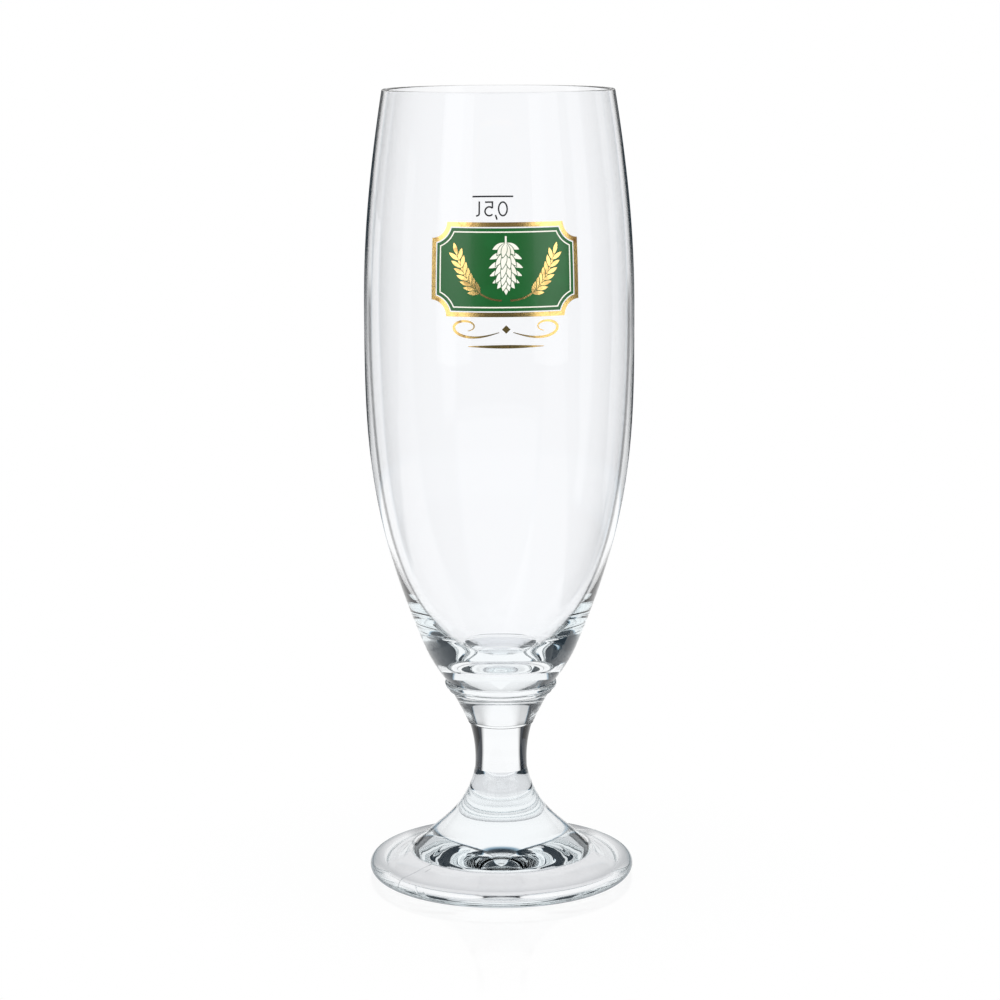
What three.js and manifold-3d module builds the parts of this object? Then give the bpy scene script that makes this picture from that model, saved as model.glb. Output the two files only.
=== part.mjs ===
// A stemmed half-litre beer goblet: a blown bowl, a pressed stem and a pressed foot, fused one on another,
// with a fired-on fill mark at the back and a badge with scrollwork at the front.
// Millimetres, +Z up, origin on the table under the middle of the foot, badge towards -Y.
import * as THREE from "three";
import { mergeVertices } from "three/addons/utils/BufferGeometryUtils.js";
import { TessellateModifier } from "three/addons/modifiers/TessellateModifier.js";
import Module from "manifold-3d";

// Foot
const FOOT_HEIGHT = 32.6; // table to the joint with the stem
const FOOT_RADIUS = 40.1;
const FOOT_EDGE = 4.9; // thickness of the half-round edge
const FOOT_REST_WIDTH = 2.2; // flat ring that stands on the table
const FOOT_HOLLOW = 8; // rise of the hollow underneath
const HOLLOW_REACH = 17.7; // how far in from the ring the hollow turns level
const PLATE_RADIUS = 27.2; // corner between the plate and the bell
const PLATE_RISE = 2.2; // that corner above the edge
const PLATE_FILLET = 1.8; // how far the fillet reaches from the corner
const BELL_SLOPE = 0.8; // radians above level where the bell starts
const BELL_REACH = 8.9; // how far it runs on in that direction
const NECK_REACH = 13.8; // how far it runs on steeply below the stem
const NECK_SPREAD = 2.9; // how far it widens on that way

// Stem
const STEM_LENGTH = 25; // joint to joint
const STEM_FOOT_RADIUS = 7.9; // where it is fused to the foot
const WAIST_RADIUS = 7.8;
const WAIST_RISE = 3; // waist above the joint with the foot
const PILLAR_LENGTH = 14; // joint with the foot to the bead
const PILLAR_TOP_RADIUS = 9.5;
const BEAD_SIZE = 0.45; // radius of the bead on top of the pillar
const CONE_FOOT_RADIUS = 10.2; // where the cone starts above the bead
const CONE_DRAW = 0.2; // how far the cone between bead and ring is drawn in
const RING_RADIUS = 15.7; // fine ring on top of the cone
const RING_SIZE = 0.5; // radius of its round edge
const RING_STEP = 0.3; // how far the cone ends inside the ring's round edge

// Bowl
const BOWL_LENGTH = 179.4; // joint with the stem to the rim
const RIM_RADIUS = 34.2;
const RIM_WALL = 1.3;
const RIM_REACH = 35.7; // how far the wall runs on in the rim's direction
const RIM_SPREAD = 5.8; // how far it widens on that way
const BELLY_RADIUS = 40;
const BELLY_RISE = 107.4; // widest place above the joint with the stem
const BELLY_WALL = 1.2;
const BELLY_REACH_UP = 18; // how far the wall runs on upright above the belly
const BELLY_REACH_DOWN = 30.8;
const COLLAR_RADIUS = 16.9; // collar at the foot of the bowl
const COLLAR_ROUND = 1.2; // radius of its round edge
const COLLAR_TURN = 1.05; // radians above level where the base leaves the round
const BASE_RADIUS = 22.8; // where the rounded base passes into the wall
const BASE_RISE = 12.8; // that place above the joint with the stem
const BASE_ROUND = 4.8; // how far the base's round reaches down from it
const BASE_SLOPE = 0.42; // how much the wall widens there as it climbs
const BASE_REACH = 39.3; // how far it runs on up in that direction
const FLOOR_THICKNESS = 8.7; // solid glass between the joint and the floor
const FLOOR_RADIUS = 12; // flat disc at the bottom of the inside
const FLOOR_STEP = 0.4; // depth of that disc below the wall around it
const INSIDE_REACH_DOWN = 83; // how far the inside runs on upright below the belly
const INSIDE_REACH_UP = 3.4; // how far it climbs from the floor's edge
const INSIDE_SPREAD = 2.8; // how far it widens on that way

// Prints
const FILM = 0.1; // thickness of one layer of print
const FILM_CLEARANCE = 0.06; // between the glass and a print, and between two layers

// Fill mark
const FILL_LINE_DROP = 34; // half-litre line below the rim
const FILL_LINE_LENGTH = 12.9;
const PRINT_STROKE = 0.5; // line width of the fill mark
const FIGURE_GAP = 1.5; // between the line and the figures
const FIGURE_HEIGHT = 4.7;
const FIGURE_WIDTH = 3.2;
const FIGURE_SPACE = 1.1; // between one figure and the next
const FIVE_LOOP_SHARE = 0.58; // of the figure's height
const FIVE_LOOP_START = 2.4; // radians, where the loop leaves the back of the figure

// Badge
const PLAQUE_DROP = 49.25; // middle of the badge below the rim
const PLAQUE_WIDTH = 43.5; // along the glass
const PLAQUE_HEIGHT = 26.6;
const PLAQUE_SCOOP = 4.6; // radius of its scooped corners
const BORDER_WIDTH = 1.3;
const BORDER_GAP = 0.35; // bare line between border and field
const KEYLINE_INSET = 0.9; // between the field's edge and the fine line inside it
const KEYLINE_WIDTH = 0.35;
const STALK_WIDTH = 0.5;
const HOP_HEIGHT = 16.5;
const HOP_RISE = 1.2; // middle of the cone above the middle of the badge
const HOP_TIERS = 5;
const HOP_STALK_SHARE = 0.8; // bare stalk above the first tier, as a share of the tiers' pitch
const HOP_PETAL = 5.4; // length of its longest petals
const HOP_SHORT_PETAL = 3;
const HOP_PETAL_WIDTH = 1.5;
const HOP_DROOPS = [0.45, 1]; // radians below level of the upper and lower petals of a tier
const BARLEY_OFFSET = 1.2; // foot of the ear beside the middle of the badge
const BARLEY_DROP = 8.6; // foot of the ear below the middle of the badge
const BARLEY_SPREAD = 13; // foot to tip, along the glass
const BARLEY_RISE = 13.5; // foot to tip, upwards
const BARLEY_BEND = 9; // foot to where its curve turns up
const BARLEY_ROWS = 7;
const BARLEY_BARE = 0.38; // share of the stalk below the grains
const GRAIN_LENGTH = 3.6;
const GRAIN_WIDTH = 1.15;
const GRAIN_ANGLE = 0.6; // radians from the stalk

// Ornament
const FINE_STROKE = 0.2; // end of a swelled line
const SCROLL_GAP = 1.2; // between the badge and the scrolls
const SCROLL_LENGTH = 13;
const SCROLL_HEIGHT = 4.6;
const SCROLL_STROKE = 0.8; // widest place of a scroll
const SCROLL_CURL = 6.6; // radians that a scroll turns through
const SCROLL_DIP = 0.5; // radians below level where it starts
const DIAMOND_SIZE = 2.4;
const RULE_GAP = 2.6; // between the scrolls and the rule under them
const RULE_LENGTH = 21.6;
const RULE_STROKE = 1;

// Fineness of the faceted surfaces
const AROUND = 56;
const WALL_STEPS = 8; // on each long curve of a wall
const BEND_STEPS = 4; // on each short bend
const EDGE_STEPS = 3; // on a quarter of a round edge
const PRINT_FACET = 3; // longest edge along a print
const FIELD_ROWS = 4; // up the badge's field
const OVAL_STEPS = 16;
const SCOOP_STEPS = 5;
const LEAF_STEPS = 3; // on each side of a petal or grain
const SCROLL_STEPS = 30;
const WELD = 1e-4;
const HALVINGS = 40; // to find a height on a wall's curve

const STEM_TOP = FOOT_HEIGHT + STEM_LENGTH;
const RIM_TOP = STEM_TOP + BOWL_LENGTH;
const BELLY_HEIGHT = STEM_TOP + BELLY_RISE;
const FIELD_INSET = BORDER_WIDTH + BORDER_GAP;

// Directions of a profile, in radians
const UP = Math.PI / 2;
const DOWN = -Math.PI / 2;

const wasm = await Module();
wasm.setup();

const finish = (color, roughness, metalness, opacity = 1) =>
  new THREE.MeshStandardMaterial({ color, roughness, metalness, opacity, transparent: opacity < 1 });
const clearGlass = () => finish(0xe9f1f5, 0.02, 0, 0.35);
const greyEnamel = () => finish(0x34363d, 0.45, 0);
const greenEnamel = () => finish(0x0d6b34, 0.3, 0);
const creamEnamel = () => finish(0xf2efe4, 0.35, 0);
const goldPrint = () => finish(0xd9a441, 0.25, 1);

const at = (radius, height) => new THREE.Vector2(radius, height);

// Points along a curve whose handles give its direction at both ends.
function curvePoints(start, startHandle, endHandle, end) {
  return new THREE.CubicBezierCurve(start, startHandle, endHandle, end).getPoints(WALL_STEPS);
}

// Points along a short bend that leads from one place to another by way of its handle.
function bendPoints(start, handle, end) {
  return new THREE.QuadraticBezierCurve(start, handle, end).getPoints(BEND_STEPS);
}

// Points along a round edge, from one angle to another about its centre.
function roundPoints(centre, radius, from, to) {
  const steps = Math.max(1, Math.round((Math.abs(to - from) / UP) * EDGE_STEPS));
  const turned = new THREE.EllipseCurve(centre.x, centre.y, radius, radius, from, to, to < from);
  return turned.getPoints(steps);
}

// A closed body turned about the Z axis from a profile that starts and ends on the axis.
function turnedBody(name, profile, material) {
  const distinct = profile.filter((point, i) => i === 0 || point.distanceTo(profile[i - 1]) > WELD);
  const geometry = new THREE.LatheGeometry(distinct, AROUND).rotateX(Math.PI / 2);
  const mesh = new THREE.Mesh(geometry, material);
  mesh.name = name;
  return mesh;
}

// Foot: half-round edge, gently rising plate, bell, and a hollow underneath.
function makeFoot() {
  const edge = FOOT_EDGE / 2;
  const restOuter = FOOT_RADIUS - edge;
  const restInner = restOuter - FOOT_REST_WIDTH;
  const corner = at(PLATE_RADIUS, FOOT_EDGE + PLATE_RISE);
  const outward = at(restOuter, FOOT_EDGE).sub(corner).normalize();
  const upward = at(-Math.cos(BELL_SLOPE), Math.sin(BELL_SLOPE));
  const fromCorner = (direction, reach) => corner.clone().addScaledVector(direction, reach);
  const hollow = bendPoints(at(0, FOOT_HOLLOW), at(restInner - HOLLOW_REACH, FOOT_HOLLOW), at(restInner, 0));
  const fillet = bendPoints(fromCorner(outward, PLATE_FILLET), corner, fromCorner(upward, PLATE_FILLET));
  const bell = curvePoints(
    fromCorner(upward, PLATE_FILLET),
    fromCorner(upward, PLATE_FILLET + BELL_REACH),
    at(STEM_FOOT_RADIUS + NECK_SPREAD, FOOT_HEIGHT - NECK_REACH),
    at(STEM_FOOT_RADIUS, FOOT_HEIGHT),
  );
  const profile = [
    ...hollow,
    ...roundPoints(at(restOuter, edge), edge, DOWN, UP),
    ...fillet,
    ...bell,
    at(0, FOOT_HEIGHT),
  ];
  return turnedBody("foot", profile, clearGlass());
}

// Stem: waisted pillar, bead, drawn-in cone and a fine ring on top of it.
function makeStem() {
  const waistHeight = FOOT_HEIGHT + WAIST_RISE;
  const pillarTop = FOOT_HEIGHT + PILLAR_LENGTH;
  const beadTop = pillarTop + 2 * BEAD_SIZE;
  const ringBottom = STEM_TOP - 2 * RING_SIZE;
  const ringMiddle = RING_RADIUS - RING_SIZE;
  const coneTop = ringMiddle - RING_STEP;
  const lowerPillar = bendPoints(
    at(STEM_FOOT_RADIUS, FOOT_HEIGHT),
    at(WAIST_RADIUS, (FOOT_HEIGHT + waistHeight) / 2),
    at(WAIST_RADIUS, waistHeight),
  );
  const upperPillar = bendPoints(
    at(WAIST_RADIUS, waistHeight),
    at(WAIST_RADIUS, (waistHeight + pillarTop) / 2),
    at(PILLAR_TOP_RADIUS, pillarTop),
  );
  const cone = bendPoints(
    at(CONE_FOOT_RADIUS, beadTop),
    at((CONE_FOOT_RADIUS + coneTop) / 2 - CONE_DRAW, (beadTop + ringBottom) / 2 + CONE_DRAW),
    at(coneTop, ringBottom),
  );
  const profile = [
    at(0, FOOT_HEIGHT),
    ...lowerPillar,
    ...upperPillar,
    ...roundPoints(at(PILLAR_TOP_RADIUS, pillarTop + BEAD_SIZE), BEAD_SIZE, DOWN, UP),
    ...cone,
    ...roundPoints(at(ringMiddle, STEM_TOP - RING_SIZE), RING_SIZE, DOWN, UP),
    at(0, STEM_TOP),
  ];
  return turnedBody("stem", profile, clearGlass());
}

// Upper stretch of a bowl wall, from the belly to the rim, set in from the outside by the wall.
function upperWall(rimInset, bellyInset, top) {
  return new THREE.CubicBezierCurve(
    at(BELLY_RADIUS - bellyInset, BELLY_HEIGHT),
    at(BELLY_RADIUS - bellyInset, BELLY_HEIGHT + BELLY_REACH_UP),
    at(RIM_RADIUS - rimInset + RIM_SPREAD, top - RIM_REACH),
    at(RIM_RADIUS - rimInset, top),
  );
}

const lipHeight = RIM_TOP - RIM_WALL / 2;
const baseEnd = at(BASE_RADIUS, STEM_TOP + BASE_RISE);
const alongBase = (reach) => baseEnd.clone().addScaledVector(at(BASE_SLOPE, 1), reach);
const outerUpperWall = upperWall(0, 0, lipHeight);
const outerLowerWall = new THREE.CubicBezierCurve(
  baseEnd,
  alongBase(BASE_REACH),
  at(BELLY_RADIUS, BELLY_HEIGHT - BELLY_REACH_DOWN),
  at(BELLY_RADIUS, BELLY_HEIGHT),
);

// Bowl: solid floor, wall that thins upwards, fire-polished rim, rounded base with a collar.
function makeBowl() {
  const floor = STEM_TOP + FLOOR_THICKNESS;
  const collarMiddle = at(COLLAR_RADIUS - COLLAR_ROUND, STEM_TOP + COLLAR_ROUND);
  const collar = roundPoints(collarMiddle, COLLAR_ROUND, COLLAR_TURN, DOWN);
  const base = bendPoints(baseEnd, alongBase(-BASE_ROUND), collar[0]);
  const insideLower = curvePoints(
    at(FLOOR_RADIUS, floor + FLOOR_STEP),
    at(FLOOR_RADIUS + INSIDE_SPREAD, floor + FLOOR_STEP + INSIDE_REACH_UP),
    at(BELLY_RADIUS - BELLY_WALL, BELLY_HEIGHT - INSIDE_REACH_DOWN),
    at(BELLY_RADIUS - BELLY_WALL, BELLY_HEIGHT),
  );
  const insideToRim = upperWall(RIM_WALL, BELLY_WALL, lipHeight).getPoints(WALL_STEPS);
  const profile = [
    at(0, floor),
    at(FLOOR_RADIUS, floor),
    ...insideLower,
    ...insideToRim,
    ...roundPoints(at(RIM_RADIUS - RIM_WALL / 2, lipHeight), RIM_WALL / 2, Math.PI, 0),
    ...outerUpperWall.getPoints(WALL_STEPS).reverse(),
    ...outerLowerWall.getPoints(WALL_STEPS).reverse(),
    ...base,
    ...collar,
    at(0, STEM_TOP),
  ];
  return turnedBody("bowl", profile.reverse(), clearGlass());
}

// Outside radius of the bowl at a height between its base and its rim.
function outerRadius(height) {
  const wall = height < BELLY_HEIGHT ? outerLowerWall : outerUpperWall;
  let low = 0;
  let high = 1;
  for (let i = 0; i < HALVINGS; i += 1) {
    const middle = (low + high) / 2;
    if (wall.getPoint(middle).y < height) low = middle;
    else high = middle;
  }
  return wall.getPoint(low).x;
}

// A flat film of print between two rails of matching points, one on each hand of the way along it.
// It is a loop where the rails close on themselves, and rows split it across where it is wide.
function strip(rightRail, leftRail, { rows = 1, loop = false } = {}) {
  const positions = [];
  const index = [];
  const across = rows + 1;
  rightRail.forEach((from, i) => {
    for (let level = 0; level < 2; level += 1) {
      for (let row = 0; row < across; row += 1) {
        const point = from.clone().lerp(leftRail[i], row / rows);
        positions.push(point.x, point.y, level * FILM);
      }
    }
  });
  const corner = (i, level, row) => (i % rightRail.length) * 2 * across + level * across + row;
  const quad = (a, b, c, d) => index.push(a, b, c, a, c, d);
  const spans = loop ? rightRail.length : rightRail.length - 1;
  for (let i = 0; i < spans; i += 1) {
    for (let row = 0; row < rows; row += 1) {
      quad(corner(i, 1, row), corner(i + 1, 1, row), corner(i + 1, 1, row + 1), corner(i, 1, row + 1));
      quad(corner(i, 0, row), corner(i, 0, row + 1), corner(i + 1, 0, row + 1), corner(i + 1, 0, row));
    }
    quad(corner(i, 0, 0), corner(i + 1, 0, 0), corner(i + 1, 1, 0), corner(i, 1, 0));
    quad(corner(i, 0, rows), corner(i, 1, rows), corner(i + 1, 1, rows), corner(i + 1, 0, rows));
  }
  for (let row = 0; row < rows && !loop; row += 1) {
    quad(corner(0, 0, row), corner(0, 1, row), corner(0, 1, row + 1), corner(0, 0, row + 1));
    quad(corner(spans, 0, row), corner(spans, 0, row + 1), corner(spans, 1, row + 1), corner(spans, 1, row));
  }
  return new THREE.BufferGeometry()
    .setAttribute("position", new THREE.Float32BufferAttribute(positions, 3))
    .setIndex(index);
}

// A line of print with mitred corners; widthAt gives its width for a share of the way from 0 to 1.
function ribbon(points, widthAt) {
  const last = points.length - 1;
  const normals = points.slice(1).map((point, i) => {
    const way = point.clone().sub(points[i]).normalize();
    return at(-way.y, way.x);
  });
  const offsets = points.map((point, i) => {
    const before = normals[Math.max(i - 1, 0)];
    const after = normals[Math.min(i, last - 1)];
    const mitre = before.clone().add(after).normalize();
    return mitre.multiplyScalar(widthAt(i / last) / 2 / mitre.dot(before));
  });
  const right = points.map((point, i) => point.clone().sub(offsets[i]));
  const left = points.map((point, i) => point.clone().add(offsets[i]));
  return strip(right, left);
}

// A pointed leaf of print from a root, along a direction in radians.
function leaf(root, direction, length, width) {
  const place = (along, aside) => at(along, aside).rotateAround(at(0, 0), direction).add(root);
  const tip = place(length, 0);
  const rightSide = place(length / 2, -width);
  const leftSide = place(length / 2, width);
  const outline = new THREE.Shape()
    .moveTo(root.x, root.y)
    .quadraticCurveTo(rightSide.x, rightSide.y, tip.x, tip.y)
    .quadraticCurveTo(leftSide.x, leftSide.y, root.x, root.y);
  return new THREE.ExtrudeGeometry(outline, { depth: FILM, bevelEnabled: false, curveSegments: LEAF_STEPS });
}

// One flat film joined from overlapping ones.
function joinedFilm(films) {
  const solids = films.map((film) => {
    film.deleteAttribute("normal");
    film.deleteAttribute("uv");
    const merged = mergeVertices(film, WELD);
    const mesh = new wasm.Mesh({
      numProp: 3,
      vertProperties: merged.attributes.position.array,
      triVerts: new Uint32Array(merged.index.array),
    });
    return new wasm.Manifold(mesh);
  });
  const joined = solids.reduce((whole, solid) => whole.add(solid)).getMesh();
  const film = new THREE.BufferGeometry()
    .setAttribute("position", new THREE.BufferAttribute(joined.vertProperties, 3))
    .setIndex(new THREE.BufferAttribute(joined.triVerts, 1));
  return new TessellateModifier(PRINT_FACET).modify(film);
}

// A flat film laid round the bowl: x runs along the glass from the given place, and y up from the given
// height. Layer 0 lies on the glass and layer 1 on layer 0.
function print(name, film, height, material, { layer = 0, across = 0 } = {}) {
  const wrapRadius = outerRadius(height);
  const base = FILM_CLEARANCE + layer * (FILM + FILM_CLEARANCE);
  const position = film.attributes.position;
  for (let i = 0; i < position.count; i += 1) {
    const z = height + position.getY(i);
    const radius = outerRadius(z) + base + position.getZ(i);
    const angle = (across + position.getX(i)) / wrapRadius;
    position.setXYZ(i, radius * Math.sin(angle), -radius * Math.cos(angle), z);
  }
  const mesh = new THREE.Mesh(mergeVertices(film, WELD), material);
  mesh.name = name;
  return mesh;
}

// Points on a straight line, no further apart than a facet.
function straight(from, to) {
  return new THREE.LineCurve(from, to).getPoints(Math.ceil(from.distanceTo(to) / PRINT_FACET));
}

// Points on an oval from one angle to another.
function oval(centre, width, height, from, to, steps = OVAL_STEPS) {
  const curve = new THREE.EllipseCurve(centre.x, centre.y, width / 2, height / 2, from, to, to < from);
  return curve.getPoints(steps);
}

// Figure 0: a closed line along an oval.
function zeroFilm() {
  const middle = at(0, FIGURE_HEIGHT / 2);
  const thin = 2 * PRINT_STROKE;
  const outer = oval(middle, FIGURE_WIDTH, FIGURE_HEIGHT, 0, 2 * Math.PI).slice(1);
  const inner = oval(middle, FIGURE_WIDTH - thin, FIGURE_HEIGHT - thin, 0, 2 * Math.PI).slice(1);
  return strip(outer, inner, { loop: true });
}

// Figure 5: a flag, a back and an open loop.
function fiveFilm() {
  const top = FIGURE_HEIGHT - PRINT_STROKE / 2;
  const reach = (FIGURE_WIDTH - PRINT_STROKE) / 2;
  const loopHeight = FIGURE_HEIGHT * FIVE_LOOP_SHARE;
  const loopMiddle = at(0, (loopHeight + PRINT_STROKE) / 2);
  const loop = oval(loopMiddle, 2 * reach, loopHeight, FIVE_LOOP_START, -FIVE_LOOP_START);
  return ribbon([at(reach, top), at(loop[0].x, top), ...loop], () => PRINT_STROKE);
}

// Letter l: an upright with a small foot.
function litreFilm() {
  const low = PRINT_STROKE / 2;
  const reach = 2 * PRINT_STROKE;
  const points = [at(0, FIGURE_HEIGHT), at(0, reach), at(PRINT_STROKE, low), at(reach, low)];
  return ribbon(points, () => PRINT_STROKE);
}

// Comma: a short slanted stroke across the foot of the figures.
function commaFilm() {
  const half = PRINT_STROKE / 2;
  return ribbon([at(half, PRINT_STROKE), at(-half, -2 * PRINT_STROKE)], () => PRINT_STROKE);
}

// Fill mark: a line and a plain capacity figure under it, turned to the back of the bowl.
function makeFillMark() {
  const lineHeight = RIM_TOP - FILL_LINE_DROP;
  const foot = lineHeight - FIGURE_GAP - FIGURE_HEIGHT;
  const half = FILL_LINE_LENGTH / 2;
  const line = ribbon(straight(at(-half, 0), at(half, 0)), () => PRINT_STROKE);
  const step = FIGURE_WIDTH + FIGURE_SPACE;
  const mark = new THREE.Group();
  mark.add(
    print("fill_line", line, lineHeight, greyEnamel()),
    print("fill_zero", zeroFilm(), foot, greyEnamel(), { across: -step + FIGURE_SPACE }),
    print("fill_comma", commaFilm(), foot, greyEnamel(), { across: -FIGURE_SPACE }),
    print("fill_five", fiveFilm(), foot, greyEnamel(), { across: FIGURE_SPACE }),
    print("fill_litre", litreFilm(), foot, greyEnamel(), { across: step }),
  );
  mark.rotation.z = Math.PI;
  return mark;
}

// Sides of the badge's outline, set in from its outer edge and taken anticlockwise from the bottom left:
// each is a scooped corner followed by the straight side after it.
function plaqueSides(inset) {
  const scoop = PLAQUE_SCOOP + inset;
  const lift = Math.asin(inset / scoop);
  const corners = [at(-1, -1), at(1, -1), at(1, 1), at(-1, 1)];
  const scoops = corners.map((corner, i) => {
    const centre = at((corner.x * PLAQUE_WIDTH) / 2, (corner.y * PLAQUE_HEIGHT) / 2);
    const quarter = i * UP;
    return oval(centre, 2 * scoop, 2 * scoop, UP - lift + quarter, lift + quarter, SCOOP_STEPS);
  });
  const lengths = [PLAQUE_WIDTH, PLAQUE_HEIGHT, PLAQUE_WIDTH, PLAQUE_HEIGHT];
  return scoops.map((corner, i) => {
    const next = scoops[(i + 1) % scoops.length];
    const side = new THREE.LineCurve(corner.at(-1), next[0]).getPoints(Math.ceil(lengths[i] / PRINT_FACET));
    return { corner, straight: side.slice(1, -1) };
  });
}

// A closed line of print round the badge, set in from its outer edge.
function plaqueLine(inset, width) {
  const loop = (depth) => plaqueSides(depth).flatMap((side) => [...side.corner, ...side.straight]);
  return strip(loop(inset), loop(inset + width), { loop: true });
}

// Field of the badge: from its lower outline up to its upper one.
function fieldFilm() {
  const [bottom, right] = plaqueSides(FIELD_INSET);
  const lower = [...bottom.corner, ...bottom.straight, ...right.corner];
  const upper = lower.map((point) => at(point.x, -point.y));
  return strip(lower, upper, { rows: FIELD_ROWS });
}

// Hop cone: tiers of petals down a spine, longest in the middle, and one petal at the tip.
function hopFilm() {
  const pitch = HOP_HEIGHT / (HOP_TIERS + 2);
  const top = HOP_RISE + HOP_HEIGHT / 2;
  const tip = top - HOP_HEIGHT;
  const films = [ribbon([at(0, top), at(0, tip + pitch)], () => STALK_WIDTH)];
  for (let tier = 0; tier < HOP_TIERS; tier += 1) {
    const root = at(0, top - pitch * (tier + HOP_STALK_SHARE));
    const swell = Math.sin((Math.PI * (tier + 1)) / (HOP_TIERS + 1));
    const length = HOP_SHORT_PETAL + (HOP_PETAL - HOP_SHORT_PETAL) * swell;
    for (const droop of HOP_DROOPS) {
      films.push(leaf(root, -droop, length, HOP_PETAL_WIDTH));
      films.push(leaf(root, Math.PI + droop, length, HOP_PETAL_WIDTH));
    }
  }
  films.push(leaf(at(0, tip + 2 * pitch), DOWN, 2 * pitch, HOP_PETAL_WIDTH));
  return joinedFilm(films);
}

// Barley ear on one side: a stalk that curves up and out, grains in pairs along it and one at its tip.
function barleyFilm(side) {
  const foot = at(side * BARLEY_OFFSET, -BARLEY_DROP);
  const bend = at(side * (BARLEY_OFFSET + BARLEY_BEND), -BARLEY_DROP);
  const tip = at(side * (BARLEY_OFFSET + BARLEY_SPREAD), BARLEY_RISE - BARLEY_DROP);
  const stalk = new THREE.QuadraticBezierCurve(foot, bend, tip);
  const films = [ribbon(stalk.getPoints(WALL_STEPS), () => STALK_WIDTH)];
  for (let row = 0; row < BARLEY_ROWS; row += 1) {
    const along = BARLEY_BARE + ((1 - BARLEY_BARE) * row) / BARLEY_ROWS;
    const root = stalk.getPoint(along);
    const lean = stalk.getTangent(along).angle();
    films.push(leaf(root, lean + GRAIN_ANGLE, GRAIN_LENGTH, GRAIN_WIDTH));
    films.push(leaf(root, lean - GRAIN_ANGLE, GRAIN_LENGTH, GRAIN_WIDTH));
  }
  const end = stalk.getPointAt(1 - STALK_WIDTH / stalk.getLength());
  films.push(leaf(end, stalk.getTangent(1).angle(), GRAIN_LENGTH, GRAIN_WIDTH));
  return joinedFilm(films);
}

// Badge at the front: gold border, green field, and cream and gold plants on the field.
function makePlaque() {
  const height = RIM_TOP - PLAQUE_DROP;
  const keyline = plaqueLine(FIELD_INSET + KEYLINE_INSET, KEYLINE_WIDTH);
  const plaque = new THREE.Group();
  plaque.add(
    print("plaque_border", plaqueLine(0, BORDER_WIDTH), height, goldPrint()),
    print("plaque_field", fieldFilm(), height, greenEnamel()),
    print("plaque_keyline", keyline, height, creamEnamel(), { layer: 1 }),
    print("hop_cone", hopFilm(), height, creamEnamel(), { layer: 1 }),
    print("barley_left", barleyFilm(-1), height, goldPrint(), { layer: 1 }),
    print("barley_right", barleyFilm(1), height, goldPrint(), { layer: 1 }),
  );
  return plaque;
}

// Scroll on one side of the middle: its bend grows evenly along it, from none to a curl.
function scrollFilm(side) {
  const drawn = [at(0, 0)];
  for (let i = 0; i < SCROLL_STEPS; i += 1) {
    const share = (i + 0.5) / SCROLL_STEPS;
    const direction = SCROLL_CURL * share * share - SCROLL_DIP;
    drawn.push(drawn[i].clone().add(at(Math.cos(direction), Math.sin(direction))));
  }
  const box = new THREE.Box2().setFromPoints(drawn);
  const stretch = at(SCROLL_LENGTH, SCROLL_HEIGHT).divide(box.getSize(new THREE.Vector2()));
  const middle = box.getCenter(new THREE.Vector2());
  const start = DIAMOND_SIZE / 2 + SCROLL_STROKE;
  const points = drawn.map((point) => {
    const placed = point.clone().sub(at(box.min.x, middle.y)).multiply(stretch);
    return at(side * (start + placed.x), placed.y);
  });
  return ribbon(points, swelled(SCROLL_STROKE));
}

// Width of a line that swells from a fine point to full width in its middle and back.
function swelled(stroke) {
  return (share) => FINE_STROKE + (stroke - FINE_STROKE) * Math.sin(Math.PI * share);
}

// Diamond between the scrolls.
function diamondFilm() {
  const half = DIAMOND_SIZE / 2;
  return strip([at(-half, 0), at(0, -half)], [at(0, half), at(half, 0)]);
}

// Gold ornament under the badge: a pair of scrolls, a diamond between them and a swelled rule.
function makeOrnament() {
  const scrollHeight = RIM_TOP - PLAQUE_DROP - PLAQUE_HEIGHT / 2 - SCROLL_GAP - SCROLL_HEIGHT / 2;
  const ruleHeight = scrollHeight - SCROLL_HEIGHT / 2 - RULE_GAP;
  const half = RULE_LENGTH / 2;
  const rule = ribbon(straight(at(-half, 0), at(half, 0)), swelled(RULE_STROKE));
  const ornament = new THREE.Group();
  ornament.add(
    print("scroll_left", scrollFilm(-1), scrollHeight, goldPrint()),
    print("scroll_right", scrollFilm(1), scrollHeight, goldPrint()),
    print("scroll_diamond", diamondFilm(), scrollHeight, goldPrint()),
    print("swelled_rule", rule, ruleHeight, goldPrint()),
  );
  return ornament;
}

const goblet = new THREE.Group();
goblet.add(makeFoot(), makeStem(), makeBowl(), makeFillMark(), makePlaque(), makeOrnament());

export default goblet;
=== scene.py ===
"""Dresses a stemmed half-litre beer goblet: blown bowl, pressed stem and foot, and fired-on prints.

Sizes are millimetres unless a name says otherwise, and Blender's own units are metres. The badge faces -Y.
"""
from __future__ import annotations

import bisect
import logging
import math
from dataclasses import dataclass, replace
from enum import Enum
from typing import Any, Callable, Mapping, Sequence

import bmesh
import bpy
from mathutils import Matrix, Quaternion, Vector
from mathutils.geometry import delaunay_2d_cdt


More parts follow.
